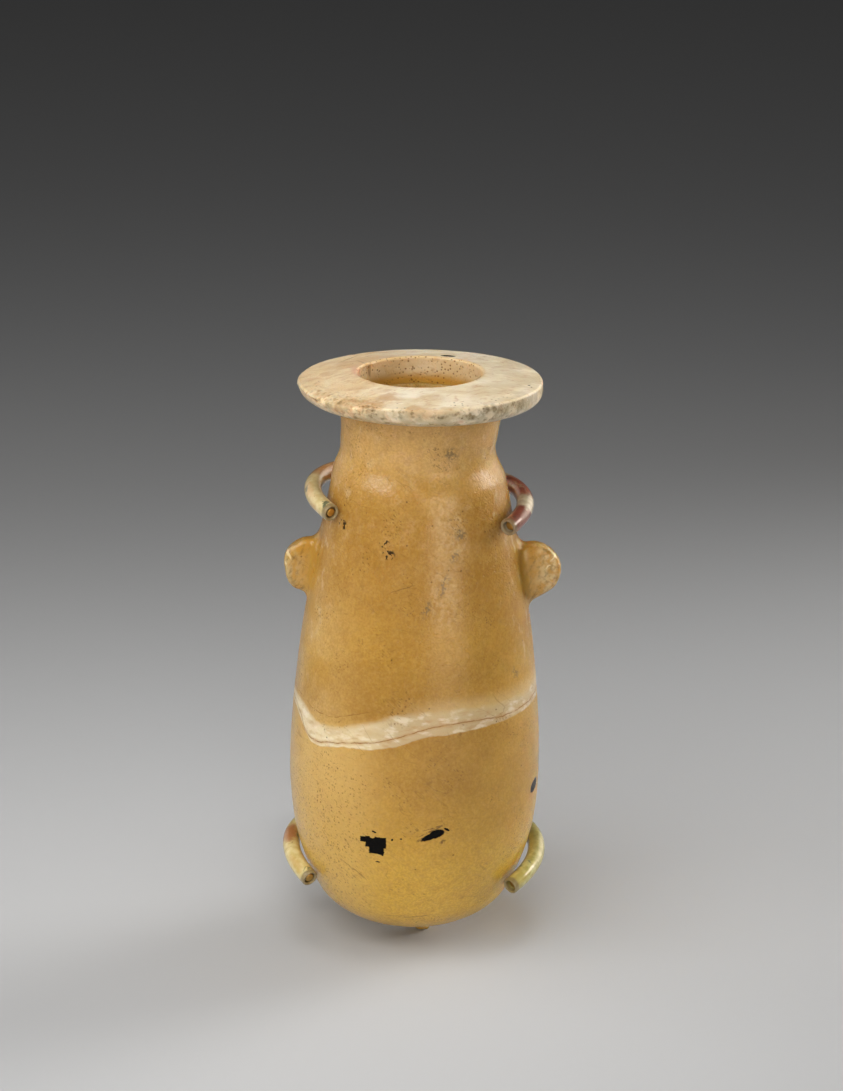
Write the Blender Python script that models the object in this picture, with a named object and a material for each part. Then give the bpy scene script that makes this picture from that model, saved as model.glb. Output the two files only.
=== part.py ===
"""An alabastron of honey coloured calcite in the wire cradle that holds it up.

Metres, +Z up. The vessel's front looks along -Y and +X is its right side as the viewer sees it.
The origin is the centre of the foot plate's underside, and the floor is at z = 0.
"""

import math
from collections import namedtuple

import bmesh
import bpy
import numpy as np
from mathutils import Matrix, Vector

CLEARANCE = 0.0003  # gap between pieces that touch

# Outline of the stone body, from the pole of its base to the top of its neck
HEEL_HEIGHT = 0.012
HEEL_INSET = 0.0077  # heel ring inside the widest ring
HEEL_SLOPE = 0.56  # growth of the radius per unit of height
BASE_FLATNESS = 0.55  # share of the heel's radius that the curve's lower handle spans
BASE_DISH = 0.13  # rise of that handle as a share of the heel's height
BELLY_RADIUS = 0.0333
BELLY_HEIGHT = 0.045
TAPER_LENGTH = 0.079  # widest ring up to the shoulder
SHOULDER_RADIUS = 0.0230
SHOULDER_SLOPE = -0.21
SHOULDER_DEPTH = 0.0066  # shoulder up to the neck
NECK_RADIUS = 0.0202
NECK_LENGTH = 0.0146
NECK_FLARE = 0.0013

# Walls of the hollow
WALL = 0.005
FLOOR = 0.006
NECK_WALL = 0.004
BORE_RADIUS = NECK_RADIUS - NECK_WALL  # through the neck and the rim disc

# Nub under the base, a little off the axis
NUB_OFFSET = 0.0026
NUB_LENGTH = 0.0024
NUB_TIP_RADIUS = 0.0019
NUB_ROOT_RADIUS = 0.0029
NUB_ROUNDING = 0.0004

# Lean of the whole vessel towards +X
VESSEL_LEAN = math.radians(0.88)

# Rim disc, a little thicker towards +X
RIM_RADIUS = 0.0320
RIM_EDGE_HEIGHT = 0.0051
RIM_RISE = 0.0021  # from the outer edge up to the mouth
RIM_WEDGE = math.radians(0.75)
RIM_LOWER_ROUNDING = 0.0033
RIM_UPPER_ROUNDING = 0.0008
MOUTH_ROUNDING = 0.0009

# Lugs, upright tabs at the vessel's sides
LUG_THICKNESS = 0.006
LUG_ROUNDING = 0.0016
LUG_FLARE = 0.0015  # widening at the root

# Claws: soft sleeves over the ends of two bent wires
WIRE_RADIUS = 0.0012
SLEEVE_WALL = 0.0008
SLEEVE_RADIUS = WIRE_RADIUS + CLEARANCE + SLEEVE_WALL
SLEEVE_LENGTH = 0.046
WIRE_RECESS = 0.0009  # wire's end inside the sleeve's tip
REAR_ANGLE = math.radians(38)  # where a claw leaves the stone for the spine
BEND_PULL = 0.42  # length of the bend's handles as a share of the way to the spine

# Spine and foot
SPINE_SIDE = 0.006
SPINE_GAP = 0.003  # behind the widest ring
SPINE_ABOVE_ARM = 0.006
SPINE_EDGE_BREAK = 0.0005
TENON_SHOULDER = 0.0008  # step from the spine's side to its tenon
FOOT_WIDTH = 0.048
FOOT_LENGTH = 0.085
FOOT_THICKNESS = 0.005
FOOT_CORNER = 0.008
FOOT_EDGE_BREAK = 0.0006
FOOT_UNDER_STONE = 0.0008  # height left between the plate's front edge and the stone

# How finely curves are drawn
ROUND_SEGMENTS = 44
SMALL_SEGMENTS = 16
OUTER_STEPS = (6, 4, 6, 3, 2)  # base, flank, taper, shoulder and neck of the outline
INNER_STEPS = (5, 3, 5, 2, 1)
ARC_STEPS = 4
ARC_SHARE = 0.45  # most of a straight side that one rounded corner may take
LUG_STEPS = 13
CLAW_STEPS = 12
BEND_STEPS = 9
SMOOTH_ANGLE = math.radians(35)
EDGE_ANGLE = math.radians(60)  # edges sharper than this are rounded or broken

# A lug's outermost point lies below the shoulder, stands out from the stone by its projection and
# curves back over its reach, up to its top and down to its foot
Lug = namedtuple("Lug", "side below_shoulder above below projection reach")
LUGS = (
    Lug(side=-1, below_shoulder=0.0228, above=0.0058, below=0.0082, projection=0.0077, reach=0.0061),
    Lug(side=1, below_shoulder=0.0242, above=0.0063, below=0.0082, projection=0.0101, reach=0.0086),
)

# A claw's heights are above its datum: the base for the lower pair, the shoulder for the upper pair.
# Its gaps lie between sleeve and stone at the tip, at the vessel's side and where it leaves the stone.
CLAW_FIELDS = "name side datum tip_degrees tip_height side_height rear_height tip_gap side_gap rear_gap"
Claw = namedtuple("Claw", CLAW_FIELDS)
SHOULDER_Z = BELLY_HEIGHT + TAPER_LENGTH
UPPER_CLAWS = (
    Claw(
        name="upper_left", side=-1, datum=SHOULDER_Z, tip_degrees=34.2,
        tip_height=-0.0058, side_height=-0.0036, rear_height=-0.0031,
        tip_gap=0.0007, side_gap=0.0016, rear_gap=0.0020,
    ),
    Claw(
        name="upper_right", side=1, datum=SHOULDER_Z, tip_degrees=33.3,
        tip_height=-0.0091, side_height=-0.0067, rear_height=-0.0054,
        tip_gap=0.0004, side_gap=0.0012, rear_gap=0.0016,
    ),
)
LOWER_CLAWS = (
    Claw(
        name="lower_left", side=-1, datum=0.0, tip_degrees=28.7,
        tip_height=0.0170, side_height=0.0211, rear_height=0.0224,
        tip_gap=0.0004, side_gap=0.0007, rear_gap=0.0008,
    ),
    Claw(
        name="lower_right", side=1, datum=0.0, tip_degrees=33.6,
        tip_height=0.0165, side_height=0.0205, rear_height=0.0226,
        tip_gap=0.0004, side_gap=0.0010, rear_gap=0.0010,
    ),
)


def clear_scene():
    for item in list(bpy.data.objects):
        bpy.data.objects.remove(item, do_unlink=True)


def finish(name, hex_colour, roughness, metallic=0.0):
    """A Principled material from an sRGB hex colour."""
    material = bpy.data.materials.new(name)
    material.use_nodes = True
    shader = material.node_tree.nodes["Principled BSDF"]
    parts = [int(hex_colour[i : i + 2], 16) / 255 for i in (1, 3, 5)]
    linear = [p / 12.92 if p <= 0.04045 else ((p + 0.055) / 1.055) ** 2.4 for p in parts]
    shader.inputs["Base Color"].default_value = (*linear, 1.0)
    shader.inputs["Roughness"].default_value = roughness
    shader.inputs["Metallic"].default_value = metallic
    return material


def link_object(name, data, material=None):
    piece = bpy.data.objects.new(name, data)
    bpy.context.scene.collection.objects.link(piece)
    if material is not None:
        data.materials.append(material)
    return piece


def mesh_object(name, bm, material=None):
    """Closes the bmesh into a smooth shaded object with its faces pointing out."""
    bmesh.ops.recalc_face_normals(bm, faces=bm.faces)
    mesh = bpy.data.meshes.new(name)
    bm.to_mesh(mesh)
    bm.free()
    mesh.shade_smooth()
    mesh.set_sharp_from_angle(angle=SMOOTH_ANGLE)
    return link_object(name, mesh, material)


def combine(target, tool, operation):
    """Joins or cuts the target with a helper object that is not part of the model."""
    tool.hide_render = True
    tool.display_type = "WIRE"
    modifier = target.modifiers.new(f"{operation} {tool.name}", "BOOLEAN")
    modifier.operation = operation
    modifier.object = tool
    modifier.solver = "EXACT"


def bezier(start, start_handle, end_handle, end, steps):
    """Points of a cubic curve after its start."""
    corners = [np.array(p, dtype=float) for p in (start, start_handle, end_handle, end)]
    points = []
    for i in range(1, steps + 1):
        t = i / steps
        weights = ((1 - t) ** 3, 3 * t * (1 - t) ** 2, 3 * t**2 * (1 - t), t**3)
        points.append(tuple(sum(w * c for w, c in zip(weights, corners))))
    return points


def rise(low, low_slope, high, high_slope, steps):
    """A smooth run of (radius, height) points with a given slope of the radius at both ends."""
    third = (high[1] - low[1]) / 3
    low_handle = (low[0] + low_slope * third, low[1] + third)
    high_handle = (high[0] - high_slope * third, high[1] - third)
    return bezier(low, low_handle, high_handle, high, steps)


def stone_outline(depth, floor_z, neck_radius, neck_flare, steps):
    """Rising (radius, height) points of the body's surface, or of one a depth inside its walls."""
    across = math.hypot(1.0, HEEL_SLOPE)
    heel_z = HEEL_HEIGHT + depth * HEEL_SLOPE / across
    pole = (0.0, floor_z)
    heel = (BELLY_RADIUS - HEEL_INSET - depth / across, heel_z)
    belly = (BELLY_RADIUS - depth, BELLY_HEIGHT)
    shoulder = (SHOULDER_RADIUS - depth, SHOULDER_Z)
    neck = (neck_radius, SHOULDER_Z + SHOULDER_DEPTH)
    neck_top = (neck_radius + neck_flare, NECK_TOP_Z)
    half = (heel_z - floor_z) / 2
    under_handle = (BASE_FLATNESS * heel[0], floor_z + BASE_DISH * (heel_z - floor_z))
    heel_handle = (heel[0] - half * HEEL_SLOPE, heel_z - half)
    points = [pole]
    points += bezier(pole, under_handle, heel_handle, heel, steps[0])
    points += rise(heel, HEEL_SLOPE, belly, 0.0, steps[1])
    points += rise(belly, 0.0, shoulder, SHOULDER_SLOPE, steps[2])
    points += rise(shoulder, SHOULDER_SLOPE, neck, 0.0, steps[3])
    points += rise(neck, 0.0, neck_top, neck_flare / NECK_LENGTH, steps[4])
    return points


NECK_TOP_Z = SHOULDER_Z + SHOULDER_DEPTH + NECK_LENGTH
OUTLINE = stone_outline(0.0, 0.0, NECK_RADIUS, NECK_FLARE, OUTER_STEPS)
HOLLOW = stone_outline(WALL, FLOOR, BORE_RADIUS, 0.0, INNER_STEPS)


def radius_at(height):
    radii, heights = zip(*OUTLINE)
    return float(np.interp(height, heights, radii))


def slant_at(height):
    """Horizontal distance per unit of distance from the sloping wall."""
    near = WALL / 5
    slope = (radius_at(height + near) - radius_at(height - near)) / (2 * near)
    return math.hypot(1.0, slope)


def revolve(points, segments, closed=False):
    """Turns (radius, height) points about Z. A closed outline makes a ring."""
    bm = bmesh.new()
    verts = [bm.verts.new((radius, 0.0, height)) for radius, height in points]
    edges = [bm.edges.new(pair) for pair in zip(verts, verts[1:])]
    if closed:
        edges.append(bm.edges.new((verts[-1], verts[0])))
    bmesh.ops.spin(
        bm, geom=verts + edges, axis=(0, 0, 1), cent=(0, 0, 0),
        angle=2 * math.pi, steps=segments, use_merge=True, use_duplicate=False,
    )
    bmesh.ops.remove_doubles(bm, verts=bm.verts, dist=1e-6)
    return bm


def rounded(corners):
    """Replaces each (radius, height, rounding) corner of a closed outline by an arc."""
    points = []
    for i, (x, y, rounding) in enumerate(corners):
        here = Vector((x, y))
        if rounding == 0:
            points.append((x, y))
            continue
        before = Vector(corners[i - 1][:2]) - here
        after = Vector(corners[(i + 1) % len(corners)][:2]) - here
        half = before.angle(after) / 2
        most = ARC_SHARE * min(before.length, after.length)
        reach = min(rounding / math.tan(half), most)
        radius = reach * math.tan(half)
        centre = here + (before.normalized() + after.normalized()).normalized() * radius / math.sin(half)
        start = here + before.normalized() * reach - centre
        turn = start.angle_signed(here + after.normalized() * reach - centre)
        for k in range(ARC_STEPS):
            arm = start.copy()
            arm.rotate(Matrix.Rotation(-turn * k / (ARC_STEPS - 1), 2))
            points.append(tuple(centre + arm))
    return points


def prism(corners, thickness, axis):
    """A closed slab with its corners in the plane across the given axis, centred on that plane."""
    bm = bmesh.new()
    if axis == "Y":
        verts = [bm.verts.new((x, -thickness / 2, z)) for x, z in corners]
        travel = (0, thickness, 0)
    else:
        verts = [bm.verts.new((x, y, -thickness / 2)) for x, y in corners]
        travel = (0, 0, thickness)
    face = bm.faces.new(verts)
    grown = bmesh.ops.extrude_face_region(bm, geom=[face])
    moved = [item for item in grown["geom"] if isinstance(item, bmesh.types.BMVert)]
    bmesh.ops.translate(bm, verts=moved, vec=travel)
    return bm


def round_bar(name, radius, length, axis, centre):
    """A plain cylinder used as a helper."""
    bm = bmesh.new()
    bmesh.ops.create_cone(
        bm, cap_ends=True, segments=SMALL_SEGMENTS, radius1=radius, radius2=radius, depth=length
    )
    if axis == "X":
        bmesh.ops.rotate(bm, verts=bm.verts, cent=(0, 0, 0), matrix=Matrix.Rotation(math.pi / 2, 3, "Y"))
    bmesh.ops.translate(bm, verts=bm.verts, vec=centre)
    return mesh_object(name, bm)


def foot_front():
    """Distance behind the vessel's axis where the plate's top still clears stone and nub."""
    under_stone = radius_at(FOOT_THICKNESS + FOOT_UNDER_STONE - POLE_Z)
    return max(under_stone, NUB_ROOT_RADIUS + FOOT_UNDER_STONE)


# The nub's lowest edge touches the floor, which sets the height of the base's pole
POLE_Z = NUB_LENGTH * math.cos(VESSEL_LEAN) + (NUB_OFFSET + NUB_TIP_RADIUS) * math.sin(VESSEL_LEAN)
TENON_RADIUS = SPINE_SIDE / 2 - TENON_SHOULDER
SPINE_BEHIND = BELLY_RADIUS + SPINE_GAP + SPINE_SIDE / 2
VESSEL_Y = -(foot_front() + FOOT_LENGTH / 2)
SPINE_Y = VESSEL_Y + SPINE_BEHIND
VESSEL_MATRIX = Matrix.Translation((0, VESSEL_Y, POLE_Z)) @ Matrix.Rotation(VESSEL_LEAN, 4, "Y")


def vessel_empty():
    empty = link_object("vessel_axis", None)
    empty.matrix_world = VESSEL_MATRIX
    return empty


def lug_tool(lug):
    """A rounded tab rooted in the middle of the wall, its face towards the viewer."""
    tip_z = SHOULDER_Z - lug.below_shoulder
    centre_x = radius_at(tip_z) + lug.projection - lug.reach
    outline_points = []
    for z in np.linspace(tip_z - lug.below - LUG_FLARE, tip_z + lug.above + LUG_FLARE, 5):
        outline_points.append((radius_at(z) - WALL / 2, z))
    for angle in np.linspace(math.pi / 2, -math.pi / 2, LUG_STEPS):
        height = lug.above if angle > 0 else lug.below
        outline_points.append((centre_x + lug.reach * math.cos(angle), tip_z + height * math.sin(angle)))
    bm = prism([(lug.side * x, z) for x, z in outline_points], LUG_THICKNESS, "Y")
    side = "left" if lug.side < 0 else "right"
    tool = mesh_object(f"lug_{side}_helper", bm)
    bevel = tool.modifiers.new("rounded edges", "BEVEL")
    bevel.width = LUG_ROUNDING
    bevel.segments = 2
    bevel.limit_method = "ANGLE"
    bevel.angle_limit = EDGE_ANGLE
    return tool


def nub_tool():
    """A blunt peg with a flat end and a wider root inside the floor of the vessel."""
    inside = FLOOR / 2
    corners = [
        (0.0, -NUB_LENGTH, 0),
        (NUB_TIP_RADIUS, -NUB_LENGTH, NUB_ROUNDING),
        (NUB_ROOT_RADIUS, 0.0, NUB_ROUNDING),
        (NUB_ROOT_RADIUS, inside, 0),
        (0.0, inside, 0),
    ]
    bm = revolve(rounded(corners), SMALL_SEGMENTS)
    bmesh.ops.translate(bm, verts=bm.verts, vec=(NUB_OFFSET, 0, 0))
    return mesh_object("nub_helper", bm)


def build_body(axis, material):
    bm = revolve(OUTLINE + HOLLOW[::-1], ROUND_SEGMENTS)
    body = mesh_object("alabastron_body", bm, material)
    body.parent = axis
    for tool in [lug_tool(lug) for lug in LUGS] + [nub_tool()]:
        tool.parent = axis
        combine(body, tool, "UNION")


def build_rim(axis, material):
    corners = [
        (BORE_RADIUS, 0.0, 0),
        (RIM_RADIUS, 0.0, RIM_LOWER_ROUNDING),
        (RIM_RADIUS, RIM_EDGE_HEIGHT, RIM_UPPER_ROUNDING),
        (BORE_RADIUS, RIM_EDGE_HEIGHT + RIM_RISE, MOUTH_ROUNDING),
    ]
    bm = revolve(rounded(corners), ROUND_SEGMENTS, closed=True)
    for vert in bm.verts:
        share = min(1.0, vert.co.z / RIM_EDGE_HEIGHT)
        vert.co.z += share * vert.co.x * math.tan(RIM_WEDGE)
    rim = mesh_object("rim_disc", bm, material)
    rim.parent = axis
    rim.location = (0, 0, NECK_TOP_Z + CLEARANCE)


def through_three(angle, angles, values):
    """The parabola through three values, taken at an angle."""
    return float(np.polyval(np.polyfit(angles, values, 2), angle))


def claw_arc(claw):
    """World points of the claw's centre line where it hugs the stone, from its tip backwards."""
    angles = (-math.radians(claw.tip_degrees), 0.0, REAR_ANGLE)
    points = []
    for angle in np.linspace(angles[0], angles[2], CLAW_STEPS):
        rise_here = through_three(angle, angles, (claw.tip_height, claw.side_height, claw.rear_height))
        gap = through_three(angle, angles, (claw.tip_gap, claw.side_gap, claw.rear_gap))
        z = claw.datum + rise_here
        reach = radius_at(z) + (SLEEVE_RADIUS + gap) * slant_at(z)
        local = Vector((claw.side * reach * math.cos(angle), reach * math.sin(angle), z))
        points.append(VESSEL_MATRIX @ local)
    return points


def arm_height(claws):
    """Height of an arm where it passes through the spine."""
    rears = [VESSEL_MATRIX @ Vector((0, SPINE_BEHIND, claw.datum + claw.rear_height)) for claw in claws]
    return sum(rear.z for rear in rears) / len(rears)


def claw_path(claw, spine_z):
    """The claw's whole centre line, from its tip to the point where it enters the spine."""
    points = claw_arc(claw)
    entry = Vector((claw.side * SPINE_SIDE, SPINE_Y, spine_z))
    leaving = (points[-1] - points[-2]).normalized()
    arriving = Vector((claw.side, 0, 0))
    pull = (entry - points[-1]).length * BEND_PULL
    handles = (points[-1] + leaving * pull, entry + arriving * pull)
    run = bezier(points[-1], *handles, entry, BEND_STEPS)
    return points + [Vector(point) for point in run]


def stretch(points, start, end=None):
    """The part of a path between two distances along it."""
    lengths = [0.0]
    for a, b in zip(points, points[1:]):
        lengths.append(lengths[-1] + (b - a).length)
    end = lengths[-1] if end is None else min(end, lengths[-1])
    inner = [p for p, at in zip(points, lengths) if start + CLEARANCE < at < end - CLEARANCE]
    ends = []
    for at in (start, end):
        ends.append(Vector([float(np.interp(at, lengths, [p[k] for p in points])) for k in range(3)]))
    return [ends[0]] + inner + [ends[1]]


def round_curve(name, points, radius, resolution, capped, material):
    curve = bpy.data.curves.new(name, "CURVE")
    curve.dimensions = "3D"
    curve.bevel_depth = radius
    curve.bevel_resolution = resolution
    curve.use_fill_caps = capped
    spline = curve.splines.new("POLY")
    spline.points.add(len(points) - 1)
    for target, point in zip(spline.points, points):
        target.co = (*point, 1.0)
    return link_object(name, curve, material)


def build_arm(name, claws, metal, paints):
    """A wire from tip to tip through the spine, with a sleeve over each end."""
    spine_z = arm_height(claws)
    left, right = (claw_path(claw, spine_z) for claw in claws)
    wire = stretch(left, WIRE_RECESS) + stretch(right, WIRE_RECESS)[::-1]
    round_curve(name, wire, WIRE_RADIUS, 2, True, metal)
    for claw, path in zip(claws, (left, right)):
        sleeve_path = stretch(path, 0.0, SLEEVE_LENGTH)
        sleeve = round_curve(f"sleeve_{claw.name}", sleeve_path, SLEEVE_RADIUS, 3, False, paints[claw.name])
        shell = sleeve.modifiers.new("sleeve wall", "SOLIDIFY")
        shell.thickness = SLEEVE_WALL
        shell.offset = -1.0
    return spine_z


def build_spine(arm_heights, material):
    """A square bar with a tenon in the foot and a cross hole for each arm."""
    low = FOOT_THICKNESS + CLEARANCE
    top = max(arm_heights) + SPINE_ABOVE_ARM
    half = SPINE_SIDE / 2
    corners = [(-half, -half), (half, -half), (half, half), (-half, half)]
    bm = prism(corners, top - low, "Z")
    bmesh.ops.translate(bm, verts=bm.verts, vec=(0, SPINE_Y, (low + top) / 2))
    spine = mesh_object("cradle_spine", bm, material)
    bevel = spine.modifiers.new("broken edges", "BEVEL")
    bevel.width = SPINE_EDGE_BREAK
    bevel.segments = 1
    tenon_centre = (0, SPINE_Y, low + SPINE_EDGE_BREAK - FOOT_THICKNESS / 2)
    tenon = round_bar("tenon_helper", TENON_RADIUS, FOOT_THICKNESS, "Z", tenon_centre)
    combine(spine, tenon, "UNION")
    for i, height in enumerate(arm_heights):
        centre = (0, SPINE_Y, height)
        hole = round_bar(f"wire_hole_helper_{i}", WIRE_RADIUS + CLEARANCE, 2 * SPINE_SIDE, "X", centre)
        combine(spine, hole, "DIFFERENCE")


def build_foot(material):
    """A flat plate with a round front, centred on the origin, its underside on the floor."""
    half_width = FOOT_WIDTH / 2
    half_length = FOOT_LENGTH / 2
    side = half_width - FOOT_CORNER
    rear = half_length - FOOT_CORNER
    arcs = (
        (0.0, half_width - half_length, half_width, 0.0, -math.pi, 21),
        (-side, rear, FOOT_CORNER, math.pi, math.pi / 2, 6),
        (side, rear, FOOT_CORNER, math.pi / 2, 0.0, 6),
    )
    corners = []
    for x, y, radius, first, last, count in arcs:
        for angle in np.linspace(first, last, count):
            corners.append((x + radius * math.cos(angle), y + radius * math.sin(angle)))
    bm = prism(corners, FOOT_THICKNESS, "Z")
    bmesh.ops.translate(bm, verts=bm.verts, vec=(0, 0, FOOT_THICKNESS / 2))
    foot = mesh_object("foot_plate", bm, material)
    bevel = foot.modifiers.new("broken edges", "BEVEL")
    bevel.width = FOOT_EDGE_BREAK
    bevel.segments = 1
    bevel.limit_method = "ANGLE"
    bevel.angle_limit = EDGE_ANGLE
    socket_centre = (0, SPINE_Y, FOOT_THICKNESS / 2)
    socket = round_bar("socket_helper", TENON_RADIUS + CLEARANCE, 2 * FOOT_THICKNESS, "Z", socket_centre)
    combine(foot, socket, "DIFFERENCE")


def build():
    clear_scene()
    honey_calcite = finish("polished honey calcite", "#C2984C", 0.32)
    cream_calcite = finish("worn cream calcite", "#D6C9AE", 0.38)
    brass = finish("drawn brass", "#B9924E", 0.35, 1.0)
    foot_paint = finish("painted steel", "#6E6A62", 0.5)
    paints = {
        "upper_left": finish("cream painted sleeve", "#B9A86F", 0.22),
        "upper_right": finish("russet painted sleeve", "#8A5A3C", 0.22),
        "lower_left": finish("ochre painted sleeve", "#C0A66C", 0.22),
        "lower_right": finish("olive painted sleeve", "#A99A56", 0.22),
    }
    axis = vessel_empty()
    build_body(axis, honey_calcite)
    build_rim(axis, cream_calcite)
    arm_heights = [
        build_arm("upper_arm_wire", UPPER_CLAWS, brass, paints),
        build_arm("lower_arm_wire", LOWER_CLAWS, brass, paints),
    ]
    build_spine(arm_heights, brass)
    build_foot(foot_paint)


build()
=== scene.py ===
"""The looks of an alabastron of banded honey calcite, held in a cradle of padded brass claws.

Lengths are millimetres unless a name ends in _m, and meshes are scaled to metres when they are made.
"""

import math
from collections import namedtuple
from functools import partial

import bmesh
import bpy
import numpy as np
from mathutils import Matrix, Vector, noise


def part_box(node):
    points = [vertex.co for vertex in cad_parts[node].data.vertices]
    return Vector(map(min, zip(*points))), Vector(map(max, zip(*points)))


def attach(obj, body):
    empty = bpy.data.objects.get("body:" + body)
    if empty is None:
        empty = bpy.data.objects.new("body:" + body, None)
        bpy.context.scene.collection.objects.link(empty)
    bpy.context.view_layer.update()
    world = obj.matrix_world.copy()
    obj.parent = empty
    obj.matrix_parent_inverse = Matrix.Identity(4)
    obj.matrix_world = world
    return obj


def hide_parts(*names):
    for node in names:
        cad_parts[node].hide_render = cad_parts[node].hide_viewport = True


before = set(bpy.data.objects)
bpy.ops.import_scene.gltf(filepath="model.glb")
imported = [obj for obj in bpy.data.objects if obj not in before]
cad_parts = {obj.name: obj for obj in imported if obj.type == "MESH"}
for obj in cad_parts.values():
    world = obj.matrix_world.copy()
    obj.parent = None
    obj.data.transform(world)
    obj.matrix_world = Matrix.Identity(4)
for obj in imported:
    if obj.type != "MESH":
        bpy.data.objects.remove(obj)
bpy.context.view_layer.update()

MM = 0.001

# Outline of the stone, as the part's source gives it
HEEL_HEIGHT = 12.0
HEEL_INSET = 7.7
HEEL_SLOPE = 0.56
BASE_FLATNESS = 0.55
BASE_DISH = 0.13
BELLY_RADIUS = 33.3
BELLY_HEIGHT = 45.0
SHOULDER_RADIUS = 23.0
SHOULDER_HEIGHT = 124.0
SHOULDER_SLOPE = -0.21
SHOULDER_DEPTH = 6.6
NECK_RADIUS = 20.2
NECK_FLARE = 1.3
NECK_TOP = 145.4
WALL = 5.0
FLOOR = 6.0
BORE_RADIUS = 16.2
NECK_SEAT = 0.7
LEAN = math.radians(0.88)

# Hand work that the turned outline doesn't have: a swelling of the wall on one side of the vessel
Swelling = namedtuple("Swelling", "degrees height reach amount")
SWELLINGS = (
    Swelling(degrees=-90, height=128.8, reach=3.2, amount=1.3),
    Swelling(degrees=-90, height=134.5, reach=3.0, amount=0.45),
    Swelling(degrees=-90, height=144.5, reach=3.0, amount=-0.7),
    Swelling(degrees=90, height=128.5, reach=3.0, amount=0.35),
    Swelling(degrees=90, height=132.6, reach=1.8, amount=-0.35),
    Swelling(degrees=90, height=141.0, reach=4.0, amount=0.35),
)

# Nub under the base
NUB_OFFSET = 2.6
NUB_LENGTH = 2.4
NUB_TIP_RADIUS = 1.9
NUB_ROOT_RADIUS = 2.9
NUB_FILLET = 0.7

# Lugs: (distance from the axis, height) round each worn tab, which roots in the wall
LUG_OUTLINES = (
    (
        (-22.0, 107.6), (-27.4, 107.2), (-30.4, 106.9), (-33.4, 105.1), (-35.15, 102.4),
        (-35.1, 99.0), (-34.3, 95.6), (-32.3, 93.4), (-28.6, 92.6), (-22.0, 91.5),
    ),
    (
        (22.0, 107.2), (27.2, 106.4), (30.8, 106.9), (33.8, 105.8), (36.4, 103.6), (37.85, 100.6),
        (37.65, 97.9), (36.4, 95.2), (34.0, 93.3), (29.6, 91.0), (22.0, 88.8),
    ),
)
LUG_HALF_THICKNESS = 2.5
LUG_DOME = 0.8
LUG_DOME_REACH = 5.0
LUG_EDGE = 1.1
LUG_FILLET = 2.6
LUG_ROOT = 8.0  # how far from the axis a lug may begin, deep in the wall
NO_LUG = 50.0  # the distance to a lug anywhere nearer the axis than that
OPEN_ABOVE = 10.0  # the hollow is cut on this far past the neck's top

# Corners of the planes in which outlines are measured: (distance from the axis, height)
TURNED_PLANE = ((-1.0, -8.0), (48.0, 160.0))
LUG_PLANES = (((-48.0, 80.0), (-10.0, 116.0)), ((10.0, 80.0), (48.0, 116.0)))

# Slow waves of the hand-cut wall: (length, height, seed), and how far all of it is ground back
WALL_WAVES = ((21.0, 0.10, 0.0), (8.0, 0.05, 3.1))
WALL_GROUND = 0.12
VOXEL = 0.88

# Rim disc, its foot sunk a little into the neck, and its bore a hair narrower
RIM_BORE_RADIUS = 16.16
RIM_SINK = 0.35
RIM_RADIUS = 32.0
RIM_EDGE_HEIGHT = 5.1
RIM_RISE = 2.1
RIM_WEDGE = math.radians(0.75)
RIM_BOTTOM = 145.5
UPPER_ROUNDING = 0.8
MOUTH_ROUNDING = 0.7
FOOT_ROUNDING = 0.05
LOWER_ROUNDING_RIGHT = 2.6
LOWER_ROUNDING_LEFT = 4.6
RIM_SEGMENTS = 448
RIM_RUNS = (44, 12, 48, 20)  # points along its underside, edge, top and bore
ARC_STEPS = 14

# Wear of the rim: (degrees from the front, share) round it, and how deep it goes. The chip beside the mouth
# is a shallow facet
MOUTH_CHIP = ((-180, 0.0), (-123, 0.0), (-120.5, 1.0), (-100, 1.0), (-82, 0.8), (-63, 0.0), (180, 0.0))
MOUTH_CHIP_DEPTH = 0.3
MOUTH_CHIP_HEIGHT = 5.0
MOUTH_CHIP_FADE = 1.5
MOUTH_CHIP_REACH = 4.0
WORN_CREASE = (
    (-180, 0.0), (-110, 0.0), (-80, 0.1), (-52, 0.65), (-34, 0.6), (-18, 0.1), (60, 0.0), (90, 0.3),
    (110, 0.1), (180, 0.0),
)
WORN_CREASE_DROP = 1.3
WORN_CREASE_WIDTH = 2.6
WORN_CREASE_HEIGHTS = (2.0, 5.0)

# Skin of the rim: (length of its bumps, depth, seed), and how far all of it is ground back
RIM_WAVE = (9.0, 0.06, 5.0)
RIM_GRIT = (1.1, 0.02, 2.0)
RIM_CHIPS = (1.9, 0.14, 9.0)
RIM_GROUND = 0.07
SEAT_KEPT = 0.4  # the skin sets in over this far from the seat and from the bore

# Where the edge is chipped: not at all at the first value and in full at the second
CHIPPED_RADII = (RIM_RADIUS - 3.5, RIM_RADIUS - 1.5)
CHIPPED_X = (12.0, 2.0)
CHIPPED_NOISE = (0.12, 0.52)

# Claws
WIRE_RADIUS = 1.2
SLEEVE_RADIUS = 2.3
SLEEVE_BORE = 1.5
SLEEVE_LENGTH = 46.0
WIRE_BLUNT = 0.35
WIRE_RECESS = {"upper_left": 0.25, "upper_right": 1.1, "lower_left": 0.3, "lower_right": 1.3}
REAR_ANGLE = math.radians(38)
BEND_PULL = 0.42
SPINE_SIDE = 6.0
EASED_EDGE = 0.45
SHARP_ANGLE = math.radians(40)

# How finely the claws are made: points along each part of a centre line, round each section, and along
# the runs and ends of a section
CENTRE_STEPS = 40
WIRE_SEGMENTS, SLEEVE_SEGMENTS = 24, 40
WIRE_STEPS, SLEEVE_STEPS, SLEEVE_BORE_STEPS = 200, 140, 60
WIRE_END_STEPS, LIP_STEPS = 6, 9

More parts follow.
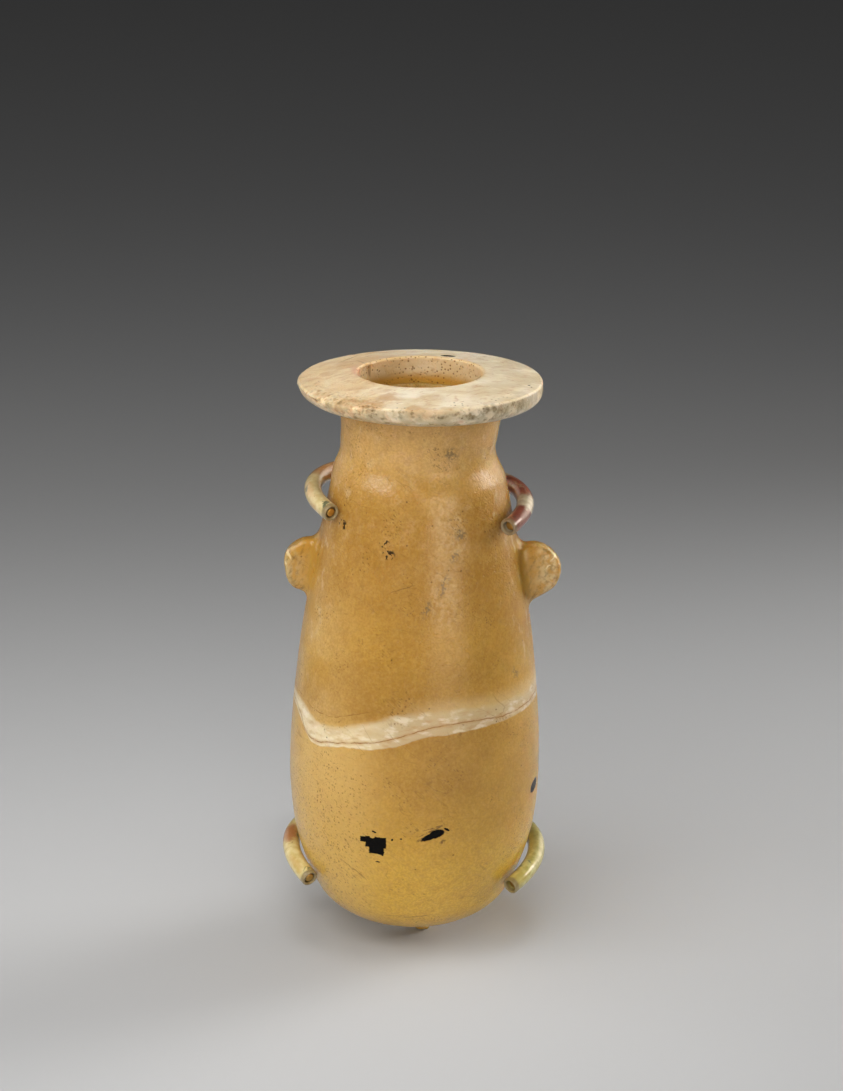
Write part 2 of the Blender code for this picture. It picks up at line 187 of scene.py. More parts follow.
CLAW_FIELDS = "side datum tip_degrees tip_height side_height rear_height tip_gap side_gap rear_gap"
Claw = namedtuple("Claw", CLAW_FIELDS)
CLAWS = {
    "upper_left": Claw(-1, SHOULDER_HEIGHT, 34.2, -5.8, -3.6, -3.1, 0.7, 1.6, 2.0),
    "upper_right": Claw(1, SHOULDER_HEIGHT, 33.3, -9.1, -6.7, -5.4, 0.4, 1.2, 1.6),
    "lower_left": Claw(-1, 0.0, 28.7, 17.0, 21.1, 22.4, 0.4, 0.52, 0.7),
    "lower_right": Claw(1, 0.0, 33.6, 16.5, 20.5, 22.6, 0.4, 1.0, 1.0),
}

# Places that come from the frame
body_low, body_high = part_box("alabastron_body")
spine_low, spine_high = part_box("cradle_spine")
AXIS_Y = (body_low.y + body_high.y) / 2 / MM
SPINE_Y = (spine_low.y + spine_high.y) / 2 / MM
POLE_Z = body_low.z / MM + NUB_LENGTH * math.cos(LEAN) + (NUB_OFFSET + NUB_TIP_RADIUS) * math.sin(LEAN)
VESSEL_MATRIX = Matrix.Translation((0, AXIS_Y, POLE_Z)) @ Matrix.Rotation(LEAN, 4, "Y")


def bezier(start, start_handle, end_handle, end, steps):
    """Points of a cubic curve after its start."""
    corners = [np.array(p, dtype=float) for p in (start, start_handle, end_handle, end)]
    points = []
    for i in range(1, steps + 1):
        t = i / steps
        weights = ((1 - t) ** 3, 3 * t * (1 - t) ** 2, 3 * t**2 * (1 - t), t**3)
        points.append(tuple(sum(w * c for w, c in zip(weights, corners))))
    return points


def rise(low, low_slope, high, high_slope, steps):
    """A smooth run of (radius, height) points with a given slope of the radius at both ends."""
    third = (high[1] - low[1]) / 3
    low_handle = (low[0] + low_slope * third, low[1] + third)
    high_handle = (high[0] - high_slope * third, high[1] - third)
    return bezier(low, low_handle, high_handle, high, steps)


def stone_outline(depth, floor_z, neck_radius, neck_flare, steps=18):
    """Rising (radius, height) points of the stone's surface, or of one a depth inside its walls."""
    across = math.hypot(1.0, HEEL_SLOPE)
    heel_z = HEEL_HEIGHT + depth * HEEL_SLOPE / across
    pole = (0.0, floor_z)
    heel = (BELLY_RADIUS - HEEL_INSET - depth / across, heel_z)
    belly = (BELLY_RADIUS - depth, BELLY_HEIGHT)
    shoulder = (SHOULDER_RADIUS - depth, SHOULDER_HEIGHT)
    neck_foot = SHOULDER_HEIGHT + SHOULDER_DEPTH
    neck = (neck_radius, neck_foot)
    neck_top = (neck_radius + neck_flare, NECK_TOP)
    half = (heel_z - floor_z) / 2
    under_handle = (BASE_FLATNESS * heel[0], floor_z + BASE_DISH * (heel_z - floor_z))
    heel_handle = (heel[0] - half * HEEL_SLOPE, heel_z - half)
    points = [pole]
    points += bezier(pole, under_handle, heel_handle, heel, steps)
    points += rise(heel, HEEL_SLOPE, belly, 0.0, steps)
    points += rise(belly, 0.0, shoulder, SHOULDER_SLOPE, steps)
    points += rise(shoulder, SHOULDER_SLOPE, neck, 0.0, steps)
    points += rise(neck, 0.0, neck_top, neck_flare / (NECK_TOP - neck_foot), steps)
    return points


OUTLINE = stone_outline(0.0, 0.0, NECK_RADIUS, NECK_FLARE)
HOLLOW_OUTLINE = stone_outline(WALL, FLOOR, BORE_RADIUS, 0.0)


def radius_at(height):
    """The radius of the turned outline."""
    radii, heights = zip(*OUTLINE)
    return float(np.interp(height, heights, radii))


def slant_at(height):
    """Horizontal distance per unit of distance from the sloping wall."""
    slope = (radius_at(height + 1) - radius_at(height - 1)) / 2
    return math.hypot(1.0, slope)


def smooth_loop(corners, steps=8):
    """A closed curve through its corners."""
    count = len(corners)
    points = []
    for i in range(count):
        before, here, there, after = (np.array(corners[(i + k) % count]) for k in (-1, 0, 1, 2))
        pull = (there - before) / 6
        push = (after - here) / 6
        points += bezier(here, here + pull, there - push, there, steps)
    return points


class DistanceMap:
    """Signed distance to a closed outline in a plane, negative inside, read from a fine grid."""

    def __init__(self, corners, low, high, step=0.25):
        self.low = low
        self.step = step
        across = np.arange(low[0], high[0], step)
        up = np.arange(low[1], high[1], step)
        x, y = np.meshgrid(across, up, indexing="ij")
        nearest = np.full(x.shape, np.inf)
        inside = np.zeros(x.shape, bool)
        for (x0, y0), (x1, y1) in zip(corners, corners[1:] + corners[:1]):
            edge_x, edge_y = x1 - x0, y1 - y0
            length = edge_x**2 + edge_y**2
            if length == 0:
                continue
            share = np.clip(((x - x0) * edge_x + (y - y0) * edge_y) / length, 0, 1)
            nearest = np.minimum(nearest, (x - x0 - edge_x * share) ** 2 + (y - y0 - edge_y * share) ** 2)
            if edge_y != 0:
                crossing = ((y0 > y) != (y1 > y)) & (x < edge_x * (y - y0) / edge_y + x0)
                inside ^= crossing
        self.values = np.where(inside, -1, 1) * np.sqrt(nearest)

    def read(self, x, y):
        """The distance at each place, from the four grid points round it."""
        column = np.clip((x - self.low[0]) / self.step, 0, self.values.shape[0] - 1.001)
        row = np.clip((y - self.low[1]) / self.step, 0, self.values.shape[1] - 1.001)
        i, j = column.astype(int), row.astype(int)
        u, v = column - i, row - j
        grid = self.values
        near = grid[i, j] * (1 - v) + grid[i, j + 1] * v
        far = grid[i + 1, j] * (1 - v) + grid[i + 1, j + 1] * v
        return near * (1 - u) + far * u


def turned_map(outline, top):
    """The distance map of a turned solid's outline, closed across the axis above it."""
    right = list(outline) + [(outline[-1][0], top)]
    left = [(-radius, height) for radius, height in reversed(right)]
    return DistanceMap(right + left, *TURNED_PLANE)


def grown(value, none_at, full_at):
    """The share, from 0 to 1, that a value has gone of the way between two places."""
    return np.clip((value - none_at) / (full_at - none_at), 0, 1)


def smooth_union(a, b, fillet):
    """The nearer of two distances, with a fillet where the two shapes meet."""
    share = np.clip(0.5 + 0.5 * (b - a) / fillet, 0, 1)
    return b + (a - b) * share - fillet * share * (1 - share)


OUTSIDE = turned_map(OUTLINE, NECK_TOP + NECK_SEAT)
HOLLOW = turned_map(HOLLOW_OUTLINE, NECK_TOP + OPEN_ABOVE)
NUB = turned_map([(0, -NUB_LENGTH), (NUB_TIP_RADIUS, -NUB_LENGTH), (NUB_ROOT_RADIUS, 0)], FLOOR / 2)
LUGS = [DistanceMap(smooth_loop(outline), *plane) for outline, plane in zip(LUG_OUTLINES, LUG_PLANES)]


def swelling(turn, height):
    """How far the wall stands out from the turned outline."""
    total = np.zeros(turn.shape)
    for s in SWELLINGS:
        facing = np.maximum(0, np.cos(turn - math.radians(s.degrees))) ** 2
        total += s.amount * facing * np.exp(-(((height - s.height) / s.reach) ** 2))
    return total


def lug_distance(lug, x, y, z):
    """A tab with domed faces and rounded edges."""
    flat = lug.read(x, z)
    depth = np.clip(-flat / LUG_DOME_REACH, 0, 1)
    half = LUG_HALF_THICKNESS + LUG_DOME * (1 - (1 - depth) ** 2)
    a = flat + LUG_EDGE
    b = np.abs(y) - half + LUG_EDGE
    return np.hypot(np.maximum(a, 0), np.maximum(b, 0)) + np.minimum(np.maximum(a, b), 0) - LUG_EDGE


def outer_distance(places):
    """Signed distance to the outside of the stone, with its lugs and its nub."""
    x, y, z = places.T
    turn = np.arctan2(x, -y)
    distance = OUTSIDE.read(np.hypot(x, y) - swelling(turn, z), z)
    for lug in LUGS:
        side = 1 if lug.low[0] > 0 else -1
        tab = np.where(x * side > LUG_ROOT, lug_distance(lug, x, y, z), NO_LUG)
        distance = smooth_union(distance, tab, LUG_FILLET)
    return smooth_union(distance, NUB.read(np.hypot(x - NUB_OFFSET, y), z), NUB_FILLET)


def stone_distance(places):
    """Signed distance to the whole stone, its hollow taken out."""
    across = np.hypot(places[:, 0], places[:, 1])
    return np.maximum(outer_distance(places), -HOLLOW.read(across, places[:, 2]))


def gradient(field, places, step=0.3):
    """The unit direction in which a distance grows fastest."""
    slopes = [field(places + shift) - field(places - shift) for shift in np.eye(3) * step]
    slope = np.array(slopes).T
    return slope / np.maximum(np.linalg.norm(slope, axis=1, keepdims=True), 1e-9)


def settle(places, edges, field, rounds=5, ease=0.35):
    """Spreads a mesh's points evenly and lays them on the surface where the field is zero."""
    count = len(places)
    links = np.bincount(edges.ravel(), minlength=count)[:, None]
    for _ in range(rounds):
        total = np.zeros(places.shape)
        for k in range(3):
            total[:, k] = np.bincount(edges[:, 0], weights=places[edges[:, 1], k], minlength=count)
            total[:, k] += np.bincount(edges[:, 1], weights=places[edges[:, 0], k], minlength=count)
        places = places + (total / links - places) * ease
        for _ in range(2):
            places = places - gradient(field, places) * field(places)[:, None]
    return places


def ripple(places, size, seed=0.0):
    """Smooth noise between about -1 and 1, with bumps of the given size."""
    shift = Vector((seed, seed * 1.7, seed * 2.3))
    return np.array([noise.noise(Vector(p) / size + shift) for p in places])


def place(name, data):
    """Puts an object in the scene."""
    piece = bpy.data.objects.new(name, data)
    bpy.context.scene.collection.objects.link(piece)
    return piece


def new_mesh(name, places, faces, material):
    """A smooth mesh object in metres, from places in millimetres."""
    mesh = bpy.data.meshes.new(name)
    mesh.from_pydata((np.asarray(places) * MM).tolist(), [], faces)
    mesh.shade_smooth()
    mesh.materials.append(material)
    return place(name, mesh)


def worked(source, kind, **settings):
    """The mesh of one of the part's own solids after one modifier."""
    rough = place("rough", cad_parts[source].data.copy())
    modifier = rough.modifiers.new("worked", kind)
    for name, value in settings.items():
        setattr(modifier, name, value)
    mesh = bpy.data.meshes.new_from_object(rough.evaluated_get(bpy.context.evaluated_depsgraph_get()))
    bpy.data.objects.remove(rough)
    return mesh


def ring_faces(rings, points, closed):
    """Faces between neighbouring rings of points, and from the last ring to the first if it is closed."""
    faces = []
    for i in range(rings if closed else rings - 1):
        a, b = i * points, (i + 1) % rings * points
        for j in range(points):
            k = (j + 1) % points
            faces.append((a + j, b + j, b + k, a + k))
    return faces


def hold(piece, slot, *nodes):
    """Sets a piece on the part's one body, in place of the plain solids that it stands for."""
    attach(piece, "root")
    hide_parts(*nodes)


def stand(piece):
    """Moves a piece made in the vessel's frame to where the vessel stands."""
    turn = VESSEL_MATRIX.copy()
    turn.translation *= MM
    piece.data.transform(turn)


def build_vessel(material):
    """The carved stone: the part's own solid, meshed evenly and laid on the finer surface."""
    even = worked("alabastron_body", "REMESH", mode="VOXEL", voxel_size=VOXEL * MM)
    back = VESSEL_MATRIX.inverted()
    places = np.array([back @ (v.co / MM) for v in even.vertices])
    edges = np.array([tuple(e.vertices) for e in even.edges])
    faces = [tuple(f.vertices) for f in even.polygons]
    places = settle(places, edges, stone_distance)
    wave = sum(height * ripple(places, length, seed) for length, height, seed in WALL_WAVES) - WALL_GROUND
    outer = np.clip(1 - np.abs(outer_distance(places)), 0, 1)
    places = places + gradient(outer_distance, places) * (wave * outer)[:, None]
    vessel = new_mesh("carved_vessel", places, faces, material)
    stand(vessel)
    hold(vessel, "honey_calcite", "alabastron_body")


def rim_profile(lower_rounding):
    """(radius, height) points round the disc's section, from the bore's foot outwards and back."""
    top = RIM_EDGE_HEIGHT + RIM_RISE
    corners = (
        (RIM_BORE_RADIUS, -RIM_SINK, FOOT_ROUNDING),
        (RIM_RADIUS, 0.0, lower_rounding),
        (RIM_RADIUS, RIM_EDGE_HEIGHT, UPPER_ROUNDING),
        (RIM_BORE_RADIUS, top, MOUTH_ROUNDING),
    )
    points = []
    arcs = []
    for i, (x, y, rounding) in enumerate(corners):
        here = Vector((x, y))
        before = Vector(corners[i - 1][:2]) - here
        after = Vector(corners[(i + 1) % 4][:2]) - here
        half = before.angle(after) / 2
        reach = rounding / math.tan(half)
        centre = here + (before.normalized() + after.normalized()).normalized() * rounding / math.sin(half)
        start = here + before.normalized() * reach - centre
        end = here + after.normalized() * reach - centre
        arcs.append((centre, start, start.angle_signed(end)))
    for i, (centre, start, turn) in enumerate(arcs):
        for k in range(ARC_STEPS):
            arm = start.copy()
            arm.rotate(Matrix.Rotation(-turn * k / (ARC_STEPS - 1), 2))
            points.append(tuple(centre + arm))
        centre_next, start_next, _ = arcs[(i + 1) % 4]
        last = Vector(points[-1])
        first = centre_next + start_next
        for k in range(1, RIM_RUNS[i]):
            points.append(tuple(last.lerp(first, k / RIM_RUNS[i])))
    return np.array(points)


def wear_rim(places):
    """Sets a small facet back at the mouth's left side and wears the top's outer edge down."""
    across = np.hypot(places[:, 0], places[:, 1])
    degrees = np.degrees(np.arctan2(places[:, 0], -places[:, 1]))
    chip = np.interp(degrees, *zip(*MOUTH_CHIP))
    crease = np.interp(degrees, *zip(*WORN_CREASE))
    top = RIM_EDGE_HEIGHT + RIM_RISE
    chip_foot = top - MOUTH_CHIP_HEIGHT
    up_bore = grown(places[:, 2], chip_foot, chip_foot + MOUTH_CHIP_FADE)
    near_bore = grown(across, RIM_BORE_RADIUS + MOUTH_CHIP_REACH, RIM_BORE_RADIUS)
    out = 1 + chip * up_bore * near_bore * MOUTH_CHIP_DEPTH / across
    places[:, :2] *= out[:, None]
    drop = grown(across, RIM_RADIUS - WORN_CREASE_WIDTH, RIM_RADIUS) ** 1.5
    places[:, 2] -= WORN_CREASE_DROP * crease * drop * grown(places[:, 2], *WORN_CREASE_HEIGHTS)


def build_rim(material):
    """The mouth disc, turned in fine steps, its edges worn and chipped."""
    tight = rim_profile(LOWER_ROUNDING_RIGHT)
    worn = rim_profile(LOWER_ROUNDING_LEFT)
    count = len(tight)
    angles = np.linspace(0, 2 * math.pi, RIM_SEGMENTS, endpoint=False)
    places = np.zeros((RIM_SEGMENTS, count, 3))
    for i, angle in enumerate(angles):
        share = 0.5 - 0.5 * math.sin(angle)
        section = tight * (1 - share) + worn * share
        places[i, :, 0] = section[:, 0] * math.sin(angle)
        places[i, :, 1] = -section[:, 0] * math.cos(angle)
        places[i, :, 2] = section[:, 1]
    flat = places.reshape(-1, 3)
    wear_rim(flat)
    wedge = grown(flat[:, 2], 0, RIM_EDGE_HEIGHT)
    flat[:, 2] += wedge * flat[:, 0] * math.tan(RIM_WEDGE)
    out = np.roll(places, -1, axis=1) - np.roll(places, 1, axis=1)
    along = np.roll(places, -1, axis=0) - np.roll(places, 1, axis=0)
    normal = np.cross(along, out).reshape(-1, 3)
    normal /= np.maximum(np.linalg.norm(normal, axis=1, keepdims=True), 1e-9)
    across = np.hypot(flat[:, 0], flat[:, 1])
    edge = grown(across, *CHIPPED_RADII)
    wave, grit, chips = (ripple(flat, length, seed) for length, _, seed in (RIM_WAVE, RIM_GRIT, RIM_CHIPS))
    chips = grown(chips, *CHIPPED_NOISE) ** 2 * grown(flat[:, 0], *CHIPPED_X)
    wear = RIM_WAVE[1] * wave - RIM_GROUND - RIM_GRIT[1] * (1 + grit) - RIM_CHIPS[1] * edge * chips
    joint = grown(flat[:, 2], 0, SEAT_KEPT) * grown(across, RIM_BORE_RADIUS, RIM_BORE_RADIUS + SEAT_KEPT)
    flat = flat + normal * (wear * joint)[:, None]
    flat[:, 2] += RIM_BOTTOM
    rim = new_mesh("mouth_disc", flat, ring_faces(RIM_SEGMENTS, count, closed=True), material)
    stand(rim)
    hold(rim, "cream_calcite", "rim_disc")


def through_three(angle, angles, values):
    """The parabola through three values, taken at an angle."""
    return float(np.polyval(np.polyfit(angles, values, 2), angle))


def claw_arc(claw):
    """Places of the claw's centre line where it hugs the stone, from its tip backwards."""
    angles = (-math.radians(claw.tip_degrees), 0.0, REAR_ANGLE)
    points = []
    for angle in np.linspace(angles[0], angles[2], CENTRE_STEPS):
        climb = through_three(angle, angles, (claw.tip_height, claw.side_height, claw.rear_height))
        gap = through_three(angle, angles, (claw.tip_gap, claw.side_gap, claw.rear_gap))
        z = claw.datum + climb
        reach = radius_at(z) + (SLEEVE_RADIUS + gap) * slant_at(z)
        local = Vector((claw.side * reach * math.cos(angle), reach * math.sin(angle), z))
        points.append(VESSEL_MATRIX @ local)
    return points


def claw_path(claw, spine_z):
    """The claw's whole centre line, from its tip to the point where it enters the spine."""
    points = claw_arc(claw)
    entry = Vector((claw.side * SPINE_SIDE, SPINE_Y, spine_z))
    leaving = (points[-1] - points[-2]).normalized()
    arriving = Vector((claw.side, 0, 0))
    pull = (entry - points[-1]).length * BEND_PULL
    run = bezier(points[-1], points[-1] + leaving * pull, entry + arriving * pull, entry, CENTRE_STEPS)
    return points + [Vector(point) for point in run]


def arm_height(pair):
    """Height of an arm where it passes through the spine."""
    behind = SPINE_Y - AXIS_Y
    rears = [VESSEL_MATRIX @ Vector((0, behind, claw.datum + claw.rear_height)) for claw in pair]
    return sum(rear.z for rear in rears) / len(rears)


def sweep(name, path, section, segments, material):
    """Turns a section of (distance, radius) about a path. The UV map is in millimetres along and round it."""
    places = np.array([tuple(p) for p in path])
    steps = np.linalg.norm(np.diff(places, axis=0), axis=1)
    lengths = np.concatenate([[0.0], np.cumsum(steps)])
    tangents = np.gradient(places, axis=0)
    tangents /= np.linalg.norm(tangents, axis=1, keepdims=True)
    sides = np.zeros(places.shape)
    side = np.cross(tangents[0], (0, 0, 1))
    for i, tangent in enumerate(tangents):
        side = side - tangent * (side @ tangent)
        side /= np.linalg.norm(side)
        sides[i] = side
    rings = []
    tracks = (places, tangents, sides)
    for distance, radius in section:
        at, ahead, across = (
            np.array([np.interp(distance, lengths, values) for values in track.T]) for track in tracks
        )
        centre = at + ahead * (distance - min(max(distance, 0.0), lengths[-1]))
        up = np.cross(across, ahead)
        for angle in np.linspace(0, 2 * math.pi, segments, endpoint=False):
            rings.append(centre + radius * (math.cos(angle) * across + math.sin(angle) * up))
    marks = []
    turn = 2 * math.pi * SLEEVE_RADIUS / segments
    for (low, _), (high, _) in zip(section, section[1:]):
        for j in range(segments):
            marks += [(low, j * turn), (high, j * turn), (high, (j + 1) * turn), (low, (j + 1) * turn)]
    piece = new_mesh(name, rings, ring_faces(len(section), segments, closed=False), material)
    layer = piece.data.uv_layers.new(name="along_and_round")
    for loop, mark in zip(layer.data, marks):
        loop.uv = mark
    bm = bmesh.new()
    bm.from_mesh(piece.data)
    bmesh.ops.remove_doubles(bm, verts=bm.verts, dist=1e-6)
    bmesh.ops.recalc_face_normals(bm, faces=bm.faces)
    bm.to_mesh(piece.data)
    bm.free()
    return piece


def round_off(along, out, radius, start, end, steps):
    """Points of an arc about a place on the section, its angles in degrees from along to out."""
    turns = np.radians(np.linspace(start, end, steps))
    return [(along + radius * math.cos(turn), out + radius * math.sin(turn)) for turn in turns]


def sleeve_section(length):
    """A soft sleeve with a wall, its cut ends a little rounded."""
    lip = (SLEEVE_RADIUS - SLEEVE_BORE) / 2
    middle = SLEEVE_BORE + lip
    points = round_off(lip, middle, lip, -90, -270, LIP_STEPS)
    points += [(s, SLEEVE_RADIUS) for s in np.linspace(lip, length - lip, SLEEVE_STEPS)[1:-1]]
    points += round_off(length - lip, middle, lip, 90, -90, LIP_STEPS)
    points += [(s, SLEEVE_BORE) for s in np.linspace(length - lip, lip, SLEEVE_BORE_STEPS)[1:-1]]
    return points + points[:1]


def wire_section(start, end):
    """A drawn wire with blunt filed ends."""
    shoulder = WIRE_RADIUS - WIRE_BLUNT
    points = [(start, 0.0)]
    first, last = start + WIRE_BLUNT, end - WIRE_BLUNT
    points += round_off(first, shoulder, WIRE_BLUNT, 180, 90, WIRE_END_STEPS)
    points += [(s, WIRE_RADIUS) for s in np.linspace(first, last, WIRE_STEPS)[1:-1]]
    points += round_off(last, shoulder, WIRE_BLUNT, 90, 0, WIRE_END_STEPS)
    return points + [(end, 0.0)]


def path_length(path):
    return sum((b - a).length for a, b in zip(path, path[1:]))


def build_claws(brass, paints):
    """Both wires, each bent from tip to tip through the spine, and the sleeves over their ends."""
    for level, *slots in (
        ("upper", "cream_sleeve", "russet_sleeve"),
        ("lower", "ochre_sleeve", "olive_sleeve"),
    ):
        pair = [CLAWS[f"{level}_left"], CLAWS[f"{level}_right"]]
        spine_z = arm_height(pair)
        left, right = (claw_path(claw, spine_z) for claw in pair)
        whole = left + right[::-1]
        start, end = WIRE_RECESS[f"{level}_left"], WIRE_RECESS[f"{level}_right"]
        section = wire_section(start, path_length(whole) - end)
        wire = sweep(f"bent_wire_{level}", whole, section, WIRE_SEGMENTS, brass)
        hold(wire, "brass", f"{level}_arm_wire")
        for side, path, slot in zip(("left", "right"), (left, right), slots):
            name = f"{level}_{side}"
            section = sleeve_section(SLEEVE_LENGTH)
            sleeve = sweep(f"claw_sleeve_{name}", path, section, SLEEVE_SEGMENTS, paints[name])
            hold(sleeve, slot, f"sleeve_{name}")


def linear(hex_colour):
    """An sRGB hex colour as the linear values that shaders take."""
    parts = [int(hex_colour[i : i + 2], 16) / 255 for i in (1, 3, 5)]
    return (*[p / 12.92 if p <= 0.04045 else ((p + 0.055) / 1.055) ** 2.4 for p in parts], 1.0)


def feed(tree, made, sockets):
    """Gives a node's sockets values or other nodes' outputs."""
    for key, value in dict(sockets).items():
        if isinstance(value, bpy.types.NodeSocket):
            tree.links.new(value, made.inputs[key])
        else:
            made.inputs[key].default_value = value


def node(tree, kind, sockets=(), **settings):
    """Adds a node, sets its settings, feeds its sockets, and gives back its outputs."""
    made = tree.nodes.new("ShaderNode" + kind)
    for name, value in settings.items():
        setattr(made, name, value)
    feed(tree, made, sockets)
    return made.outputs


def blank_material(name):
    """A material, its node tree and its shader."""
    material = bpy.data.materials.new(name)
    material.use_nodes = True
    return material, material.node_tree, material.node_tree.nodes["Principled BSDF"]


def millimetres(tree):
    """Places on the piece, in millimetres."""
    metres = node(tree, "TexCoord")["Object"]
    return node(tree, "VectorMath", {0: metres, 1: (1 / MM, 1 / MM, 1 / MM)}, operation="MULTIPLY")[0]


def on_vessel(tree):
    """Places in the leaning vessel's own frame, in millimetres, from its base's pole. Its front is at -Y."""
    upright = {"Vector": millimetres(tree), "Location": VESSEL_MATRIX.translation, "Rotation": (0, LEAN, 0)}
    return node(tree, "Mapping", upright, vector_type="TEXTURE")[0]


def meet(tree, *masks):
    """The product of masks. One written as (value, none at, full at) grows smoothly between those two."""
    cover = None
    for mask in masks:
        if isinstance(mask, tuple):
            limits = dict(zip(("Value", "From Min", "From Max"), mask))
            mask = node(tree, "MapRange", limits, interpolation_type="SMOOTHSTEP")[0]
        if cover is None:
            cover = mask
        else:
            cover = node(tree, "Math", {0: cover, 1: mask}, operation="MULTIPLY")[0]
    return cover


def bumps(tree, where, size, detail, stretch, turn, shift):
    """Noise about as coarse as size, stretched along each axis and turned by degrees."""
    placing = {
        "Vector": where,
        "Location": (shift, shift, shift),
        "Rotation": [math.radians(t) for t in turn],
        "Scale": [size * s for s in stretch],
    }
    spot = node(tree, "Mapping", placing, vector_type="TEXTURE")[0]
    return node(tree, "TexNoise", {"Vector": spot, "Scale": 1.0, "Detail": detail})[0]


def cloud(tree, where, size, low, high, detail=5.0, stretch=(1, 1, 1), turn=(0, 0, 0), shift=0.0):
    """A mask of soft irregular patches about as wide as size, from none at low to full at high."""
    return meet(tree, (bumps(tree, where, size, detail, stretch, turn, shift), low, high))


def hairlines(tree, where, size, width, stretch=(1, 1, 1), turn=(0, 0, 0), shift=0.0):
    """A mask of thin wandering lines, where smooth noise passes through its middle."""
    grain = bumps(tree, where, size, 2.0, stretch, turn, shift)
    middle = node(tree, "Math", {0: grain, 1: 0.5}, operation="SUBTRACT")[0]
    away = node(tree, "Math", {0: middle}, operation="ABSOLUTE")[0]
    return node(tree, "MapRange", {"Value": away, "From Min": width / size, "From Max": 0.0})[0]


def pits(tree, where, spacing, radius, share):
    """A mask of small round pits, in a share of the cells of an uneven net."""
    cells = node(tree, "TexVoronoi", {"Vector": where, "Scale": 1 / spacing})
    chance = node(tree, "SeparateColor", {0: cells["Color"]})[0]
    chosen = node(tree, "Math", {0: chance, 1: share}, operation="LESS_THAN")[0]
    return meet(tree, (cells["Distance"], radius / spacing, 0.4 * radius / spacing), chosen)


def ragged(tree, where, size, amount, detail=3.0, stretch=(1, 1, 1), drawn_on=None):
    """Places pushed about by noise, so that an outline drawn with them is ragged."""
    grain = node(tree, "TexNoise", {"Vector": where, "Scale": 1 / size, "Detail": detail})["Color"]
    push = node(tree, "VectorMath", {0: grain, 1: (0.5, 0.5, 0.5)}, operation="SUBTRACT")[0]
    pushed = {0: push, 1: [2 * amount * s for s in stretch], 2: where if drawn_on is None else drawn_on}
    return node(tree, "VectorMath", pushed, operation="MULTIPLY_ADD")[0]


Mark = namedtuple("Mark", "x y z half_width half_height turn", defaults=(0.0,))
MARK_DEPTH = 3.0


def marked(tree, where, shapes, soft, angular=False, lying=False):
    """A mask of blocks or ovals, turned as seen from the front, or from above where they lie."""
    total = 0.0
    for mark in shapes:
        turn = math.radians(mark.turn)
        placing = {"Vector": where, "Location": (mark.x, mark.y, mark.z)}
        if lying:
            placing |= {"Rotation": (0, 0, turn), "Scale": (mark.half_width, mark.half_height, MARK_DEPTH)}
        else:
            placing |= {"Rotation": (0, -turn, 0), "Scale": (mark.half_width, MARK_DEPTH, mark.half_height)}
        local = node(tree, "Mapping", placing, vector_type="TEXTURE")[0]
        if angular:
            size = node(tree, "VectorMath", {0: local}, operation="ABSOLUTE")[0]
            x, y, z = node(tree, "SeparateXYZ", {0: size})
            edge = node(tree, "Math", {0: x, 1: y}, operation="MAXIMUM")[0]
            edge = node(tree, "Math", {0: edge, 1: z}, operation="MAXIMUM")[0]
        else:
            edge = node(tree, "VectorMath", {0: local}, operation="LENGTH")["Value"]
        mask = meet(tree, (edge, 1 + soft, 1 - soft))
        total = node(tree, "Math", {0: total, 1: mask}, operation="MAXIMUM")[0]
    return total


def layered(tree, ground, coats):
    """A ground colour under coats of (colour, strength, masks), each laid on where its masks meet."""
    colour = linear(ground)
    for hex_colour, *masks in coats:
        over = {0: meet(tree, *masks), 6: colour, 7: linear(hex_colour)}
        colour = node(tree, "Mix", over, data_type="RGBA")[2]
    return colour


def relief(tree, layers):
    """A surface raised or sunk by each mask's depth in millimetres."""
    height = 0.0
    for mask, depth in layers:
        height = node(tree, "Math", {0: mask, 1: depth, 2: height}, operation="MULTIPLY_ADD")[0]
    return node(tree, "Bump", {"Height": height, "Distance": MM, "Strength": 1.0})[0]


# The vein round the vessel's middle: (degrees from the front, height) along its edges and its brown seams
VEIN_FOOT, VEIN_SPAN = 50.0, 25.0
VEIN_UPPER = (
    (-180, 66.0), (-135, 64.0), (-90, 66.6), (-70, 65.9), (-56, 63.2), (-50, 62.3), (-43, 62.5), (-31, 64.2),
    (-21, 66.0), (-7, 68.5), (7, 69.5), (26, 69.7), (55, 69.7), (76, 70.3), (120, 71.5), (150, 69.0),
    (180, 66.0),
)
VEIN_LOWER = (
    (-180, 61.0), (-135, 60.0), (-90, 64.6), (-75, 63.3), (-68, 61.3), (-62, 58.9), (-56, 56.6), (-49, 56.5),
    (-34, 58.3), (-20, 58.8), (-9, 60.2), (4, 62.9), (24, 64.0), (54, 65.0), (84, 66.1), (120, 66.5),
    (150, 63.5), (180, 61.0),
)
VEIN_SEAM = (
    (-180, 63.0), (-135, 61.5), (-90, 65.0), (-70, 63.0), (-53, 57.6), (-43, 58.5), (-26, 60.2), (-12, 62.0),
    (2, 64.7), (11, 65.9), (32, 66.5), (43, 66.1), (64, 66.7), (78, 67.4), (120, 68.5), (150, 65.5),
    (180, 63.0),
)
CAP_SEAM = (
    (-180, 69.0), (-135, 68.0), (-90, 68.6), (-80, 67.9), (-66, 67.2), (-56, 65.8), (-45, 65.3), (-36, 66.4),
    (-24, 68.5), (0, 72.0), (60, 73.0), (180, 69.0),
)


